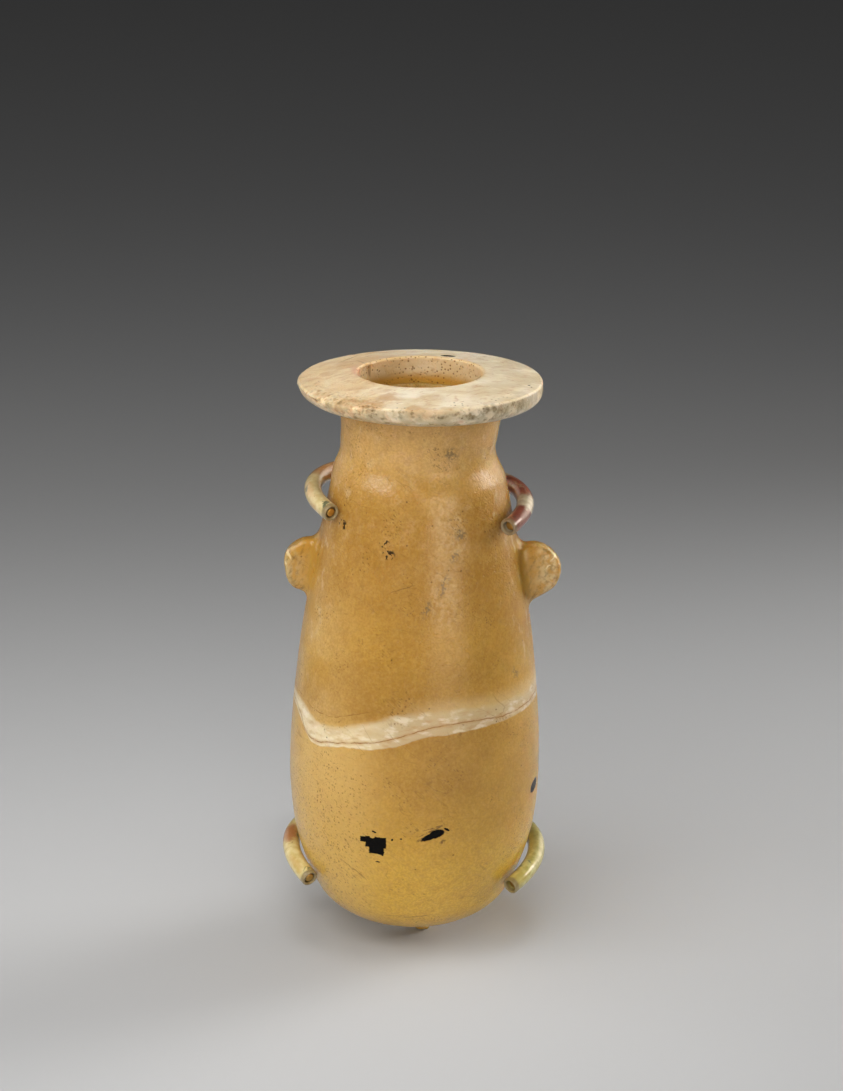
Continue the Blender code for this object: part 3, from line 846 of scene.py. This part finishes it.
def above(tree, turn, height, line):
    """How many millimetres a place lies above a line round the vessel. Its height is from VEIN_FOOT."""
    line_height = node(tree, "FloatCurve", {"Value": turn})[0]
    mapping = line_height.node.mapping
    points = mapping.curves[0].points
    for i, (degrees, z) in enumerate(line):
        at = (degrees / 360 + 0.5, (z - VEIN_FOOT) / VEIN_SPAN)
        if i in (0, len(line) - 1):
            points[0 if i == 0 else -1].location = at
        else:
            points.new(*at)
    for point in points:
        point.handle_type = "VECTOR" if line is VEIN_LOWER else "AUTO"
    mapping.update()
    fall = {0: line_height, 1: -VEIN_SPAN, 2: height}
    return node(tree, "Math", fall, operation="MULTIPLY_ADD")[0]


BLACK_SCRAPS = (
    Mark(-9.9, -31.0, 33.4, 2.75, 1.6),
    Mark(-9.7, -31.0, 31.5, 2.0, 1.4),
    Mark(-9.0, -31.0, 30.7, 1.4, 0.7, -20),
    Mark(-12.7, -30.0, 33.9, 1.4, 0.75),
)
BLACK_LENSES = (
    Mark(4.6, -32.4, 35.9, 2.9, 0.85, 24),
    Mark(5.9, -32.3, 36.5, 2.1, 1.2, 16),
    Mark(31.4, -9.5, 42.3, 2.7, 1.2, 50),
)
PALE_NICK = (Mark(-10.8, -31.0, 34.9, 0.6, 0.4),)
BLACK_SPECKS = (
    Mark(-3.3, -32.4, 35.0, 0.3, 0.25),
    Mark(2.4, -32.5, 35.1, 0.3, 0.3),
    Mark(3.2, -32.5, 35.3, 0.4, 0.2, 20),
    Mark(-9.3, -30.2, 27.7, 0.7, 0.2),
    Mark(-10.4, -31.1, 36.4, 0.3, 0.6, 60),
    Mark(-5.6, -31.9, 34.6, 0.3, 0.3),
    Mark(8.6, -31.8, 37.6, 0.3, 0.8, 60),
)
SCRAP_TRACES = (
    Mark(4.4, -32.4, 37.3, 3.6, 0.22, 25),
    Mark(5.0, -32.4, 38.2, 2.8, 0.18, 16),
    Mark(2.2, -32.5, 35.0, 1.6, 0.5, 20),
    Mark(7.5, -32.0, 34.0, 0.9, 0.6, 40),
)
DARK_CLUSTERS = (
    Mark(-8.7, -24.0, 112.6, 1.3, 1.2),
    Mark(-7.6, -24.2, 109.9, 1.7, 1.3),
    Mark(-19.6, -15.0, 115.0, 1.1, 2.0, 20),
)
GREY_SMUDGES = (
    Mark(8.3, -18.8, 135.3, 1.6, 1.9, 30),
    Mark(11.0, -22.1, 114.8, 1.4, 1.6, 60),
    Mark(9.4, -23.5, 109.5, 1.0, 1.6, -40),
    Mark(6.6, -26.0, 102.0, 1.2, 2.8, -20),
    Mark(2.5, -28.0, 96.3, 0.9, 2.2, -20),
    Mark(25.8, -17.1, 76.2, 0.7, 1.7, 20),
    Mark(28.0, -12.0, 33.0, 0.8, 1.3, 40),
)
# Pale patches, partly matt film and partly painted highlight: beside the middle where the right strip shines,
# and on the shoulder
HAZE_AND_HIGHLIGHTS = (
    Mark(8.3, -22.5, 115.0, 4.6, 11.0),
    Mark(7.0, -26.5, 99.0, 4.0, 10.0),
    Mark(-2.5, -22.5, 129.5, 3.6, 4.0),
    Mark(-10.0, -19.5, 127.0, 4.0, 3.0),
)
# Pale marks on the lugs: worn chips at their edges, partly painted highlights on those edges and on the right
# lug's domed face
LUG_CHIPS_AND_GLINTS = (
    Mark(-33.9, -1.0, 103.0, 0.45, 1.5, 30),
    Mark(-34.7, -1.0, 100.6, 0.3, 0.6, 10),
    Mark(36.0, -1.5, 103.6, 0.3, 1.7, -40),
    Mark(34.2, -2.9, 100.9, 0.9, 0.25, 40),
)
BASE_SCORES = (
    Mark(1.0, -24.5, 10.3, 4.0, 0.12, 8),
    Mark(-4.5, -24.0, 10.2, 3.0, 0.1, 4),
    Mark(-14.0, -27.0, 23.0, 2.2, 0.12, -40),
    Mark(-17.0, -25.0, 25.0, 2.4, 0.12, -35),
    Mark(-3.8, -27.2, 101.5, 3.6, 0.1, 20),
)


def honey_calcite():
    """Banded travertine ("Egyptian alabaster"), ground and polished, then long buried.

    Light goes a few millimetres into it, so it glows amber and its shading is soft. The polish is worn to
    a satin with fine pits, and a thin tan film is left on the shoulder.
    """
    material, tree, shader = blank_material("honey calcite, worn polish")
    where = on_vessel(tree)
    x, y, z = node(tree, "SeparateXYZ", {0: where})
    patches = partial(cloud, tree, where)
    lines = partial(hairlines, tree, where)
    marks = partial(marked, tree, ragged(tree, where, 0.9, 0.28))
    film = patches(6.5, 0.46, 0.64, shift=40)
    bloom = meet(tree, patches(4.0, 0.44, 0.72, shift=14), patches(1.0, 0.3, 0.6, shift=2))
    wisps = patches(2.6, 0.52, 0.72, stretch=(1.0, 1.0, 1.5), shift=75)
    painted_left_sheen = patches(14, 0.25, 0.6, detail=4.0, shift=17)
    haze_and_highlight = marked(tree, ragged(tree, where, 3.0, 1.6), HAZE_AND_HIGHLIGHTS, 0.35)
    grain = patches(0.6, 0.36, 0.64, detail=3.0)

    # How far a place lies above each line of the vein
    to_front = node(tree, "Math", {0: y, 1: -1.0}, operation="MULTIPLY")[0]
    angle = node(tree, "Math", {0: x, 1: to_front}, operation="ARCTAN2")[0]
    turn = node(tree, "MapRange", {"Value": angle, "From Min": -math.pi, "From Max": math.pi})[0]
    climb = node(tree, "SeparateXYZ", {0: ragged(tree, where, 2.6, 0.4)})[2]
    height = node(tree, "Math", {0: climb, 1: VEIN_FOOT}, operation="SUBTRACT")[0]
    over_foot, over_top, over_seam, over_cap = (
        above(tree, turn, height, line) for line in (VEIN_LOWER, VEIN_UPPER, VEIN_SEAM, CAP_SEAM)
    )
    off_seam = node(tree, "Math", {0: over_seam}, operation="ABSOLUTE")[0]
    off_cap = node(tree, "Math", {0: over_cap}, operation="ABSOLUTE")[0]
    on_foot = meet(tree, (over_foot, -0.2, 0.35))
    vein = meet(tree, on_foot, (over_top, 0.9, -1.3))
    seam_breaks = patches(3.0, 0.36, 0.55, detail=4.0, shift=11)
    coats = [
        # Growth layers 20 to 30 mm across, seen as slow changes between amber and gold
        ("#C29640", 1.0, patches(26, 0.36, 0.64, detail=3.0, stretch=(1.6, 1.6, 1.0))),
        # Painted light and shade by height: darker over the upper body, paler on the neck under the rim,
        # brighter gold low on the body
        ("#A97C3C", 0.6, (z, 76, 104)),
        ("#D9AE68", 0.75, (z, 119, 134)),
        ("#E4B741", 0.8, (z, 56, 16)),
        # The thin tan film: patches of 3 to 8 mm with a fine grain, on the shoulder, the neck and the sides
        ("#C9A35E", 0.25, film, (z, 78, 118)),
        ("#D8B080", 0.35, bloom, (z, 100, 120)),
        ("#DFC294", 0.55, wisps, (z, 60, 92), (y, -21, -12)),
        # Painted light: broad paler patches down the left side, a sheen along that edge
        ("#E0BE80", 0.5, (x, -8, -32), painted_left_sheen, (z, 30, 56), (z, 108, 88)),
        # The pale patch beside the middle, and the smaller one on the shoulder: partly matt film, partly
        # painted highlight where the lights shine on the polish
        ("#D5B784", 0.36, haze_and_highlight, patches(1.5, 0.38, 0.62, shift=52)),
        # Crystal grain of 0.6 mm, and soft mottling of 1 to 3 mm
        ("#8A5C20", 0.24, grain),
        ("#DDB467", 0.16, patches(1.2, 0.42, 0.72, shift=88)),
        ("#8F5F26", 0.16, patches(3.0, 0.46, 0.72, shift=58)),
        # Paler stone above the vein, at the right and at the left
        ("#DCC08C", 0.5, (over_top, 5.0, -0.5), (over_top, -2.0, 0.0), (x, -10, 8)),
        ("#D9B268", 0.5, (over_top, 2.2, -0.4), (over_cap, 0.3, -2.2), (x, -4, -18)),
        # The white vein with its brown seams
        ("#CCB68F", 0.8, vein),
        ("#EBDAB2", 0.8, vein, (x, -2, -20)),
        ("#C7A878", 0.55, patches(2.4, 0.44, 0.7, stretch=(2.4, 2.4, 1)), vein),
        ("#B98A52", 0.4, patches(1.3, 0.52, 0.7, stretch=(3, 3, 1), shift=37), vein),
        ("#F3E7CB", 0.5, patches(2.0, 0.5, 0.66, stretch=(2, 2, 1), shift=19), vein),
        ("#B98A4E", 0.5, (off_seam, 0.9, 0.0), on_foot),
        ("#8C5E26", 0.8, (off_seam, 0.22, 0.05), seam_breaks, on_foot),
        ("#8C6026", 0.75, (off_cap, 0.2, 0.04), (x, -4, -18), seam_breaks),
    ]

    # Lugs: greyer and pitted outside, amber where they root. The amber is lightened as painted light against
    # the shade in the crease at the root, and the right lug's paler grey is painted light
    lug = meet(tree, (z, 86, 91), (z, 111, 107))
    for side, pale in ((-1, "#BDA674"), (1, "#D2BB8B")):
        worn = (x, side * 28, side * 35)
        dirt = patches(0.9, 0.46, 0.74, stretch=(1, 1, 1.8), turn=(0, 30, 0), shift=77)
        cracks = lines(3.2, 0.14, stretch=(1.0, 1.0, 1.4), turn=(0, side * 40, 0), shift=side * 7)
        coats += [
            ("#BB8C38", 0.8, (x, side * 25, side * 28), lug),
            (pale, 0.78, worn, patches(2.2, 0.3, 0.6), lug),
            ("#6A5322", 0.55, (x, side * 27, side * 31), dirt, lug),
            ("#5C4518", 0.4, cracks, patches(3.0, 0.44, 0.58, detail=3.0, shift=9), worn, lug),
        ]

    # Pits and nicks of about 0.5 mm, thick only in places, and hairline scratches
    pitted = patches(11, 0.50, 0.66, detail=4.0, shift=23)
    low_left = meet(tree, (x, -6, -20), (z, 62, 40))
    crowd = node(tree, "Math", {0: pitted, 1: low_left}, operation="MAXIMUM")[0]
    pit = pits(tree, where, 0.95, 0.34, 0.35)
    nicks = patches(0.42, 0.60, 0.68, detail=2.0, stretch=(1.0, 1.0, 3.4), turn=(0, -52, 0), shift=63)
    loose = pits(tree, where, 3.4, 0.34, 0.4)
    scratch = lines(9, 0.10, stretch=(1.6, 1.6, 0.5), turn=(0, 35, 0), shift=5)

    scraps = {0: marks(BLACK_SCRAPS, 0.06, angular=True), 1: marks(PALE_NICK, 0.15)}
    kept = node(tree, "Math", scraps, operation="SUBTRACT", use_clamp=True)[0]
    specks = marks(BLACK_LENSES + BLACK_SPECKS, 0.12)
    black = node(tree, "Math", {0: kept, 1: specks}, operation="MAXIMUM")[0]
    coats += [
        # Pale chips on the lugs, partly painted highlights
        ("#EBD6A6", 0.65, marked(tree, ragged(tree, where, 1.2, 0.5), LUG_CHIPS_AND_GLINTS, 0.3)),
        ("#6B4A1C", 0.6, pit, crowd),
        ("#6E4E1E", 0.62, nicks, crowd),
        ("#5E4018", 0.7, loose),
        ("#76511F", 0.38, scratch, patches(7, 0.5, 0.62, detail=3.0, shift=61)),
        # Marks at their places on the front
        ("#6F5C40", 0.75, marks(GREY_SMUDGES, 0.5), patches(0.8, 0.4, 0.6, detail=3.0, shift=3)),
        ("#2E2212", 0.95, marks(DARK_CLUSTERS, 0.3), patches(0.9, 0.52, 0.58, detail=3.0, shift=9)),
        ("#6B4A20", 0.8, marks(SCRAP_TRACES, 0.3), patches(0.8, 0.35, 0.55, detail=3.0, shift=17)),
        ("#6E4C20", 0.6, marks(BASE_SCORES, 0.4)),
        ("#090705", 1.0, black),
    ]
    feed(tree, shader, {
        "Base Color": layered(tree, "#A97D2E", coats),
        "Specular IOR Level": node(tree, "MapRange", {"Value": black, "To Min": 0.5, "To Max": 0.08})[0],
        # Worn polish: satin, duller where the film lies
        "Roughness": node(tree, "MapRange", {"Value": film, "To Min": 0.13, "To Max": 0.20})[0],
        "IOR": 1.55,
        "Subsurface Weight": 0.6,
        "Subsurface Radius": (1.0, 0.55, 0.2),
        "Subsurface Scale": 4.0 * MM,
        "Normal": relief(tree, (
            (grain, 0.03),
            (patches(1.9, 0.3, 0.7, detail=3.0, shift=33), 0.014),
            (pit, -0.05),
            (loose, -0.06),
            (scratch, -0.02),
        )),
    })
    return material


RIM_CRACK = (Mark(-18.6, 19.0, 151.5, 6.4, 0.22, 62), Mark(-15.6, 11.0, 151.5, 3.4, 0.2, 108))
MOUTH_FACET = (Mark(-16.6, 0.6, 150.0, 2.0, 7.4, 8),)
# Painted shade: a dark line down the step at the far end of the facet
FACET_STEP_SHADE = (Mark(-13.4, 8.2, 150.6, 0.4, 2.0),)
BLACK_LENS = (
    Mark(7.2, 18.0, 152.4, 2.0, 1.6, -12),
    Mark(28.0, -7.9, 151.3, 0.3, 0.25),
    Mark(28.7, -9.2, 151.3, 0.35, 0.3),
)
EDGE_DIRT = (
    Mark(4.2, -30.2, 148.6, 1.6, 0.6),
    Mark(9.0, -29.0, 149.3, 1.2, 0.5),
    Mark(16.8, -26.8, 149.4, 2.4, 1.0, 25),
    Mark(20.6, -24.0, 148.4, 1.4, 1.3, 50),
    Mark(-5.6, -31.0, 148.4, 1.0, 0.6),
    Mark(13.0, -28.6, 147.8, 1.3, 0.5),
    Mark(25.6, -18.0, 149.0, 1.0, 1.3, 40),
    Mark(-12.4, -28.6, 149.2, 1.5, 0.8, -20),
)


def cream_calcite():
    """Paler travertine of the mouth disc, turned and ground, mottled by iron and by dirt in its pores.

    Light sinks less far into it than into the honey stone, so it looks like old ivory with a faint glow.
    """
    material, tree, shader = blank_material("cream calcite, ground")
    where = on_vessel(tree)
    rough_where = ragged(tree, where, 0.9, 0.5)
    x, y, z = node(tree, "SeparateXYZ", {0: where})
    patches = partial(cloud, tree, where)
    drifts = partial(cloud, tree, ragged(tree, where, 7.0, 3.0), turn=(0, 0, 28))
    outward = node(tree, "VectorMath", {0: where, 1: (1, 1, 0)}, operation="MULTIPLY")[0]
    across = node(tree, "VectorMath", {0: outward}, operation="LENGTH")["Value"]
    left = (x, 0, -18)
    outer = (across, 25.5, 28.5)
    bore = (across, 17.6, 16.4)
    edge = meet(tree, (y, -12, -24), outer)
    rub = meet(tree, (x, -6, -14), (y, -2, -12), outer)
    dirt = marked(tree, rough_where, EDGE_DIRT, 0.9)
    blush = drifts(5.0, 0.48, 0.66, detail=4.0, stretch=(1.8, 1.0, 1.0), shift=50)
    tan = patches(4.0, 0.46, 0.62, stretch=(1.6, 1.0, 1.0), shift=66)
    flecks = pits(tree, where, 1.05, 0.36, 0.5)
    facet = marked(tree, where, MOUTH_FACET, 0.25, lying=True)
    grains = pits(tree, where, 0.85, 0.34, 0.7)
    brown = pits(tree, where, 3.0, 0.36, 0.35)
    crack = marked(tree, ragged(tree, where, 2.4, 0.5), RIM_CRACK, 0.5, lying=True)
    black = marked(tree, rough_where, BLACK_LENS, 0.1, lying=True)
    coats = (
        ("#F0E2C6", 1.0, drifts(9, 0.38, 0.62, stretch=(1.6, 0.9, 0.8), shift=14)),
        ("#CDBB9A", 0.7, (x, 6, 27), patches(7, 0.3, 0.56, detail=3.0, shift=4)),
        # Iron streaks 1 to 2 mm wide, most of them in the left half of the top
        ("#AC6E34", 0.7, drifts(1.8, 0.52, 0.66, stretch=(3.2, 1.0, 1.5), shift=20), left),
        ("#B67F4C", 0.5, drifts(1.1, 0.52, 0.72, stretch=(2.6, 1.0, 1.5), turn=(0, 0, 20), shift=95)),
        ("#C4905A", 0.3, patches(6.0, 0.48, 0.60, shift=36), left),
        ("#F6EAD2", 0.5, patches(4.5, 0.5, 0.68, stretch=(2, 1, 1), shift=61)),
        ("#F0D19E", 0.55, (x, -2, -20)),
        ("#D0A074", 0.42, blush, left),
        ("#BD8F5B", 0.5, tan, (x, 14, -4), (y, -10, -20)),
        # The worn left edge: pale bruises of 1 to 2 mm with brown between them
        ("#A97B40", 0.7, patches(1.4, 0.48, 0.68, shift=29), rub),
        ("#EBD9AE", 0.45, patches(1.5, 0.52, 0.62, detail=4.0, shift=83), rub),
        # The turned edge is greyer, with greenish grey dirt in its pores
        ("#A99A78", 0.65, patches(3.6, 0.36, 0.6, shift=8), (z, 151.2, 148.8), outer),
        ("#7A6433", 0.75, patches(1.6, 0.52, 0.70, shift=31), (z, 151.0, 149.8), edge),
        ("#6E5222", 0.75, flecks, patches(4.5, 0.46, 0.60, detail=4.0, shift=12), edge),
        ("#6A5429", 0.85, dirt, patches(1.2, 0.34, 0.64, shift=47)),
        # The bore glows warm from the stone below it, and is redder where the facet was ground
        ("#D0AC72", 0.6, bore),
        ("#C28E34", 0.95, bore, (z, 149.2, 146.2)),
        ("#DDA98A", 0.7, facet, (z, 147.6, 148.4)),
        # Painted shade down the facet's step
        ("#8E6030", 0.55, marked(tree, where, FACET_STEP_SHADE, 0.4), bore),
        # Brown grains, thickest down the bore
        ("#85561F", 0.85, grains, bore, patches(4.0, 0.36, 0.52, detail=4.0, shift=71)),
        ("#96632F", 0.6, brown),
        ("#7D5226", 0.5, crack),
        ("#0B0A08", 0.97, black),
    )
    feed(tree, shader, {
        "Base Color": layered(tree, "#DCC7A2", coats),
        "Specular IOR Level": node(tree, "MapRange", {"Value": black, "To Min": 0.5, "To Max": 0.08})[0],
        "Roughness": node(tree, "MapRange", {"Value": black, "To Min": 0.3, "To Max": 0.85})[0],
        "IOR": 1.55,
        "Subsurface Weight": 0.5,
        "Subsurface Radius": (1.0, 0.72, 0.4),
        "Subsurface Scale": 2.5 * MM,
        "Normal": relief(tree, (
            (patches(0.8, 0.3, 0.7, detail=3.0), 0.03),
            (patches(1.7, 0.4, 0.65, shift=29), 0.03),
            (brown, -0.08),
            (grains, -0.06),
            (dirt, -0.03),
            (crack, -0.06),
        )),
    })
    return material


# Paint on the sleeves, in millimetres along each from its tip and round it. The way round starts at the
# side next to the stone on the left sleeves and at the far side on the right ones, and goes up
Coat = namedtuple("Coat", "hex strength soft marks")
SLEEVE_PAINT = {
    "upper_left": ("#CDB67C", "#DCCB97", (
        Coat("#C08A4C", 0.5, 0.6, (Mark(12, 5.5, 0, 5, 1.3), Mark(6, 7.5, 0, 2.5, 1.0))),
        Coat("#A9672F", 0.75, 0.4, (Mark(30, 4, 0, 8, 6),)),
        Coat("#4A553A", 0.9, 0.4, (Mark(2.0, 4.4, 0, 0.7, 1.9, 15), Mark(13.4, 6.2, 0, 1.4, 0.6))),
    )),
    "upper_right": ("#A9977A", "#C2B596", (
        Coat("#6E2008", 0.92, 0.25, (
            Mark(4.6, 3.4, 0, 5.4, 3.4, 12),
            Mark(4.9, 0.2, 0, 5.2, 2.8),
            Mark(4.9, 14.3, 0, 5.0, 2.6),
        )),
        Coat("#883310", 0.9, 0.25, (Mark(25, 4.5, 0, 8.0, 4.6, 15), Mark(24, 1.0, 0, 6.5, 2.6))),
        Coat("#A86A3A", 0.7, 0.5, (Mark(20.5, 6.6, 0, 3.6, 0.9, 20), Mark(2.0, 4.6, 0, 1.2, 1.6))),
        Coat("#B7A385", 0.6, 0.6, (Mark(24, 3.8, 0, 4.2, 0.35, 10), Mark(28, 6.0, 0, 4.2, 0.5, 15))),
        Coat("#4A3C2C", 0.7, 0.6, (Mark(1.6, 4.4, 0, 0.25, 1.8), Mark(2.6, 3.4, 0, 0.2, 1.5, 20))),
    )),
    "lower_left": ("#CBB46C", "#DDCB92", (
        Coat("#C59A50", 0.55, 0.6, (Mark(6, 5.6, 0, 3.0, 1.2),)),
        Coat("#A15A26", 0.85, 0.35, (Mark(19.5, 4.4, 0, 4.6, 2.2), Mark(20.5, 7.0, 0, 4.0, 1.7))),
        Coat("#4F5634", 0.8, 0.5, (
            Mark(22, 1.6, 0, 4.0, 0.7),
            Mark(0.7, 3.6, 0, 0.22, 2.6),
            Mark(1.7, 3.6, 0, 0.2, 2.2),
        )),
        Coat("#8A5A22", 0.6, 0.6, (Mark(13.6, 5.0, 0, 0.14, 2.0, 20), Mark(12.4, 6.2, 0, 0.12, 1.6, -15))),
    )),
    "lower_right": ("#A3984F", "#BFB472", (
        Coat("#B59F4C", 0.7, 0.5, (Mark(2.4, 4.4, 0, 3.6, 5.0),)),
        Coat("#5C6650", 0.75, 0.6, (
            Mark(4.4, 5.0, 0, 0.7, 0.9, 30),
            Mark(7.2, 4.3, 0, 0.9, 0.6),
            Mark(9.6, 3.0, 0, 0.6, 0.5),
        )),
        Coat("#77764E", 0.6, 0.5, (Mark(26, 5.4, 0, 9.0, 2.4),)),
    )),
}


def sleeve_paint(name, ground, light, coats):
    """Soft clear tube brushed with acrylic colours to match the stone, then varnished.

    The varnish gives it a wet shine over streaky paint, and the cut end is left bare and glassy.
    """
    material, tree, shader = blank_material(f"{name} sleeve, painted and varnished")
    where = millimetres(tree)
    along = node(tree, "UVMap", uv_map="along_and_round")[0]
    from_tip = node(tree, "SeparateXYZ", {0: along})[0]
    brushed = ragged(tree, where, 1.6, 2.0, detail=4.0, stretch=(1.0, 0.75, 0.0), drawn_on=along)
    streaks = cloud(tree, where, 1.8, 0.34, 0.66, shift=6)
    swells = cloud(tree, where, 3.5, 0.3, 0.7, detail=3.0, shift=90)
    colours = [(light, 1.0, streaks)]
    for coat in coats:
        colours.append((coat.hex, coat.strength, marked(tree, brushed, coat.marks, coat.soft, lying=True)))
    colours += [
        ("#5B4A2A", 0.5, pits(tree, where, 1.7, 0.22, 0.3)),
        ("#7A6644", 0.8, (from_tip, 1.6, 0.8)),
    ]
    feed(tree, shader, {
        "Base Color": layered(tree, ground, colours),
        "Roughness": 0.35,
        "IOR": 1.49,
        "Subsurface Weight": 0.25,
        "Subsurface Radius": (1.0, 0.8, 0.5),
        "Subsurface Scale": 1.0 * MM,
        "Coat Weight": 1.0,
        "Coat Roughness": 0.05,
        "Coat IOR": 1.5,
        "Normal": relief(tree, ((streaks, 0.02), (swells, 0.08))),
    })
    return material


def drawn_brass():
    """Brass wire and bar as drawn and filed: fine lines blur its shine, and handling has dulled it."""
    material, tree, shader = blank_material("brass, drawn and filed")
    where = millimetres(tree)
    # Real drawing lines are under 0.1 mm apart, too fine to show, so these are 0.35 mm apart
    lines = cloud(tree, where, 0.35, 0.3, 0.7, detail=3.0, stretch=(1, 1, 40))
    tarnish = cloud(tree, where, 9, 0.42, 0.66, shift=12)
    dents = cloud(tree, where, 5, 0.35, 0.65, detail=3.0, shift=31)
    feed(tree, shader, {
        "Base Color": layered(tree, "#D2A95C", (("#9A7338", 0.7, tarnish), ("#E2C07A", 0.35, lines))),
        "Metallic": 1.0,
        "Roughness": node(tree, "MapRange", {"Value": tarnish, "To Min": 0.30, "To Max": 0.46})[0],
        "Normal": relief(tree, ((lines, 0.012), (dents, 0.03))),
    })
    return material


def foot_paint():
    """Steel plate under a sprayed taupe enamel: an even satin, a fine orange-peel skin and a few scuffs."""
    material, tree, shader = blank_material("steel, sprayed taupe enamel")
    where = millimetres(tree)
    skin = cloud(tree, where, 0.9, 0.3, 0.7, detail=2.0)
    scuffs = hairlines(tree, where, 14, 0.12, stretch=(1.0, 0.4, 1.0), turn=(0, 0, 30), shift=8)
    dust = cloud(tree, where, 6, 0.45, 0.7, shift=25)
    feed(tree, shader, {
        "Base Color": layered(tree, "#A8A296", (("#B8B2A5", 0.6, dust), ("#C9C4B8", 0.4, scuffs, dust))),
        "Roughness": 0.42,
        "IOR": 1.5,
        "Normal": relief(tree, ((skin, 0.02), (scuffs, -0.01))),
    })
    return material


def build_stand(brass, paint):
    """The cradle's bar and foot, their sawn edges eased with a file."""
    edges = {"width": EASED_EDGE * MM, "segments": 3, "limit_method": "ANGLE", "angle_limit": SHARP_ANGLE}
    for source, name, slot, material in (
        ("cradle_spine", "filed_spine", "brass", brass),
        ("foot_plate", "painted_foot", "foot_paint", paint),
    ):
        eased = worked(source, "BEVEL", **edges)
        eased.materials.clear()
        eased.materials.append(material)
        hold(place(name, eased), slot, source)


# Camera, as far from the vessel as gives the photograph's perspective
CAMERA_DISTANCE_M = 1.2
CAMERA_ELEVATION = math.radians(16.5)
CAMERA_AIM_M = (0.00255, AXIS_Y * MM, 0.10774)
FRAME_HEIGHT = 1091
FOCAL_PIXELS = 4560.0
SENSOR = 36.0


def stand_camera():
    """The camera, square on to the vessel's front and looking a little down."""
    data = bpy.data.cameras.new("camera")
    data.sensor_fit = "VERTICAL"
    data.sensor_height = SENSOR
    data.lens = FOCAL_PIXELS / FRAME_HEIGHT * SENSOR
    camera = place("camera", data)
    forward = Vector((0, math.cos(CAMERA_ELEVATION), -math.sin(CAMERA_ELEVATION)))
    camera.location = Vector(CAMERA_AIM_M) - forward * CAMERA_DISTANCE_M
    camera.rotation_euler = forward.to_track_quat("-Z", "Y").to_euler()
    bpy.context.scene.camera = camera


# Softboxes: azimuth to the right of the camera's line, elevation above the aim point, sizes in metres, and
# the tint of the light. Some light only the matt part of each surface and some only its shine. The spread is
# the widest angle of the light that leaves the box, in degrees, and is narrow where a box has a grid on it
BOX_FIELDS = "name azimuth elevation distance_m width_m height_m watts hex matt shine spread"
Softbox = namedtuple("Softbox", BOX_FIELDS)
SOFTBOXES = (
    Softbox("front fill", -14, 25, 0.75, 0.65, 0.75, 4.9, "#FFFFFF", True, False, 180),
    Softbox("left key", -62, 42, 0.80, 0.45, 0.45, 1.9, "#FFFFFF", True, True, 180),
    Softbox("right strip", 31, 8, 0.80, 0.54, 0.48, 2.3, "#FFE3BE", False, True, 180),
    Softbox("right glint", 106, 20, 0.80, 0.26, 0.22, 1.3, "#FFF0E4", False, True, 180),
    Softbox("overhead", 0, 80, 0.70, 0.50, 0.50, 0.50, "#FFFFFF", True, False, 80),
    Softbox("left side", -112, 14, 0.70, 0.40, 0.50, 0.16, "#FFFFFF", True, False, 50),
    Softbox("right side", 122, 14, 0.70, 0.40, 0.50, 0.82, "#FFFFFF", True, False, 50),
    Softbox("left edge", -134, 14, 0.70, 0.60, 0.60, 0.14, "#FFF0DC", False, True, 70),
    Softbox("right edge", 134, 14, 0.70, 0.60, 0.60, 0.32, "#FFF0DC", False, True, 70),
)
LIGHTS_AIM_HEIGHT = 100
ROOM_GREY = "#B4B4B4"
ROOM_STRENGTH = 0.07


def studio():
    """Soft lights round the vessel, in a dim room."""
    aim = Vector((0, AXIS_Y, LIGHTS_AIM_HEIGHT)) * MM
    for box in SOFTBOXES:
        light = bpy.data.lights.new(box.name, "AREA")
        light.shape = "RECTANGLE"
        light.size = box.width_m
        light.size_y = box.height_m
        light.energy = box.watts
        light.color = linear(box.hex)[:3]
        light.spread = math.radians(box.spread)
        lamp = place(box.name, light)
        a, e = math.radians(box.azimuth), math.radians(box.elevation)
        away = Vector((math.sin(a) * math.cos(e), -math.cos(a) * math.cos(e), math.sin(e)))
        lamp.location = aim + away * box.distance_m
        lamp.rotation_euler = (-away).to_track_quat("-Z", "Y").to_euler()
        lamp.visible_diffuse = box.matt
        lamp.visible_glossy = box.shine
    world = bpy.data.worlds.new("soft room")
    world.use_nodes = True
    room = {"Color": linear(ROOM_GREY), "Strength": ROOM_STRENGTH}
    feed(world.node_tree, world.node_tree.nodes["Background"], room)
    bpy.context.scene.world = world


FLOOR_HALF_M = 4.0
FLOOR_DROP = 0.1  # keeps it clear of the foot's underside


def lay_floor():
    """A plain floor of matt pale paper."""
    material, tree, shader = blank_material("matt pale paper")
    feed(tree, shader, {"Base Color": linear("#B8B8B8"), "Roughness": 0.85})
    mesh = bpy.data.meshes.new("floor")
    corners = [(x * FLOOR_HALF_M, y * FLOOR_HALF_M, 0) for x, y in ((-1, -1), (1, -1), (1, 1), (-1, 1))]
    mesh.from_pydata(corners, [], [(0, 1, 2, 3)])
    mesh.materials.append(material)
    floor = place("floor", mesh)
    floor.location.z = -FLOOR_DROP * MM


brass = drawn_brass()
build_vessel(honey_calcite())
build_rim(cream_calcite())
paints = {name: sleeve_paint(name.replace("_", " "), *paint) for name, paint in SLEEVE_PAINT.items()}
build_claws(brass, paints)
build_stand(brass, foot_paint())
lay_floor()
studio()
stand_camera()
bpy.context.scene.view_settings.view_transform = "Standard"
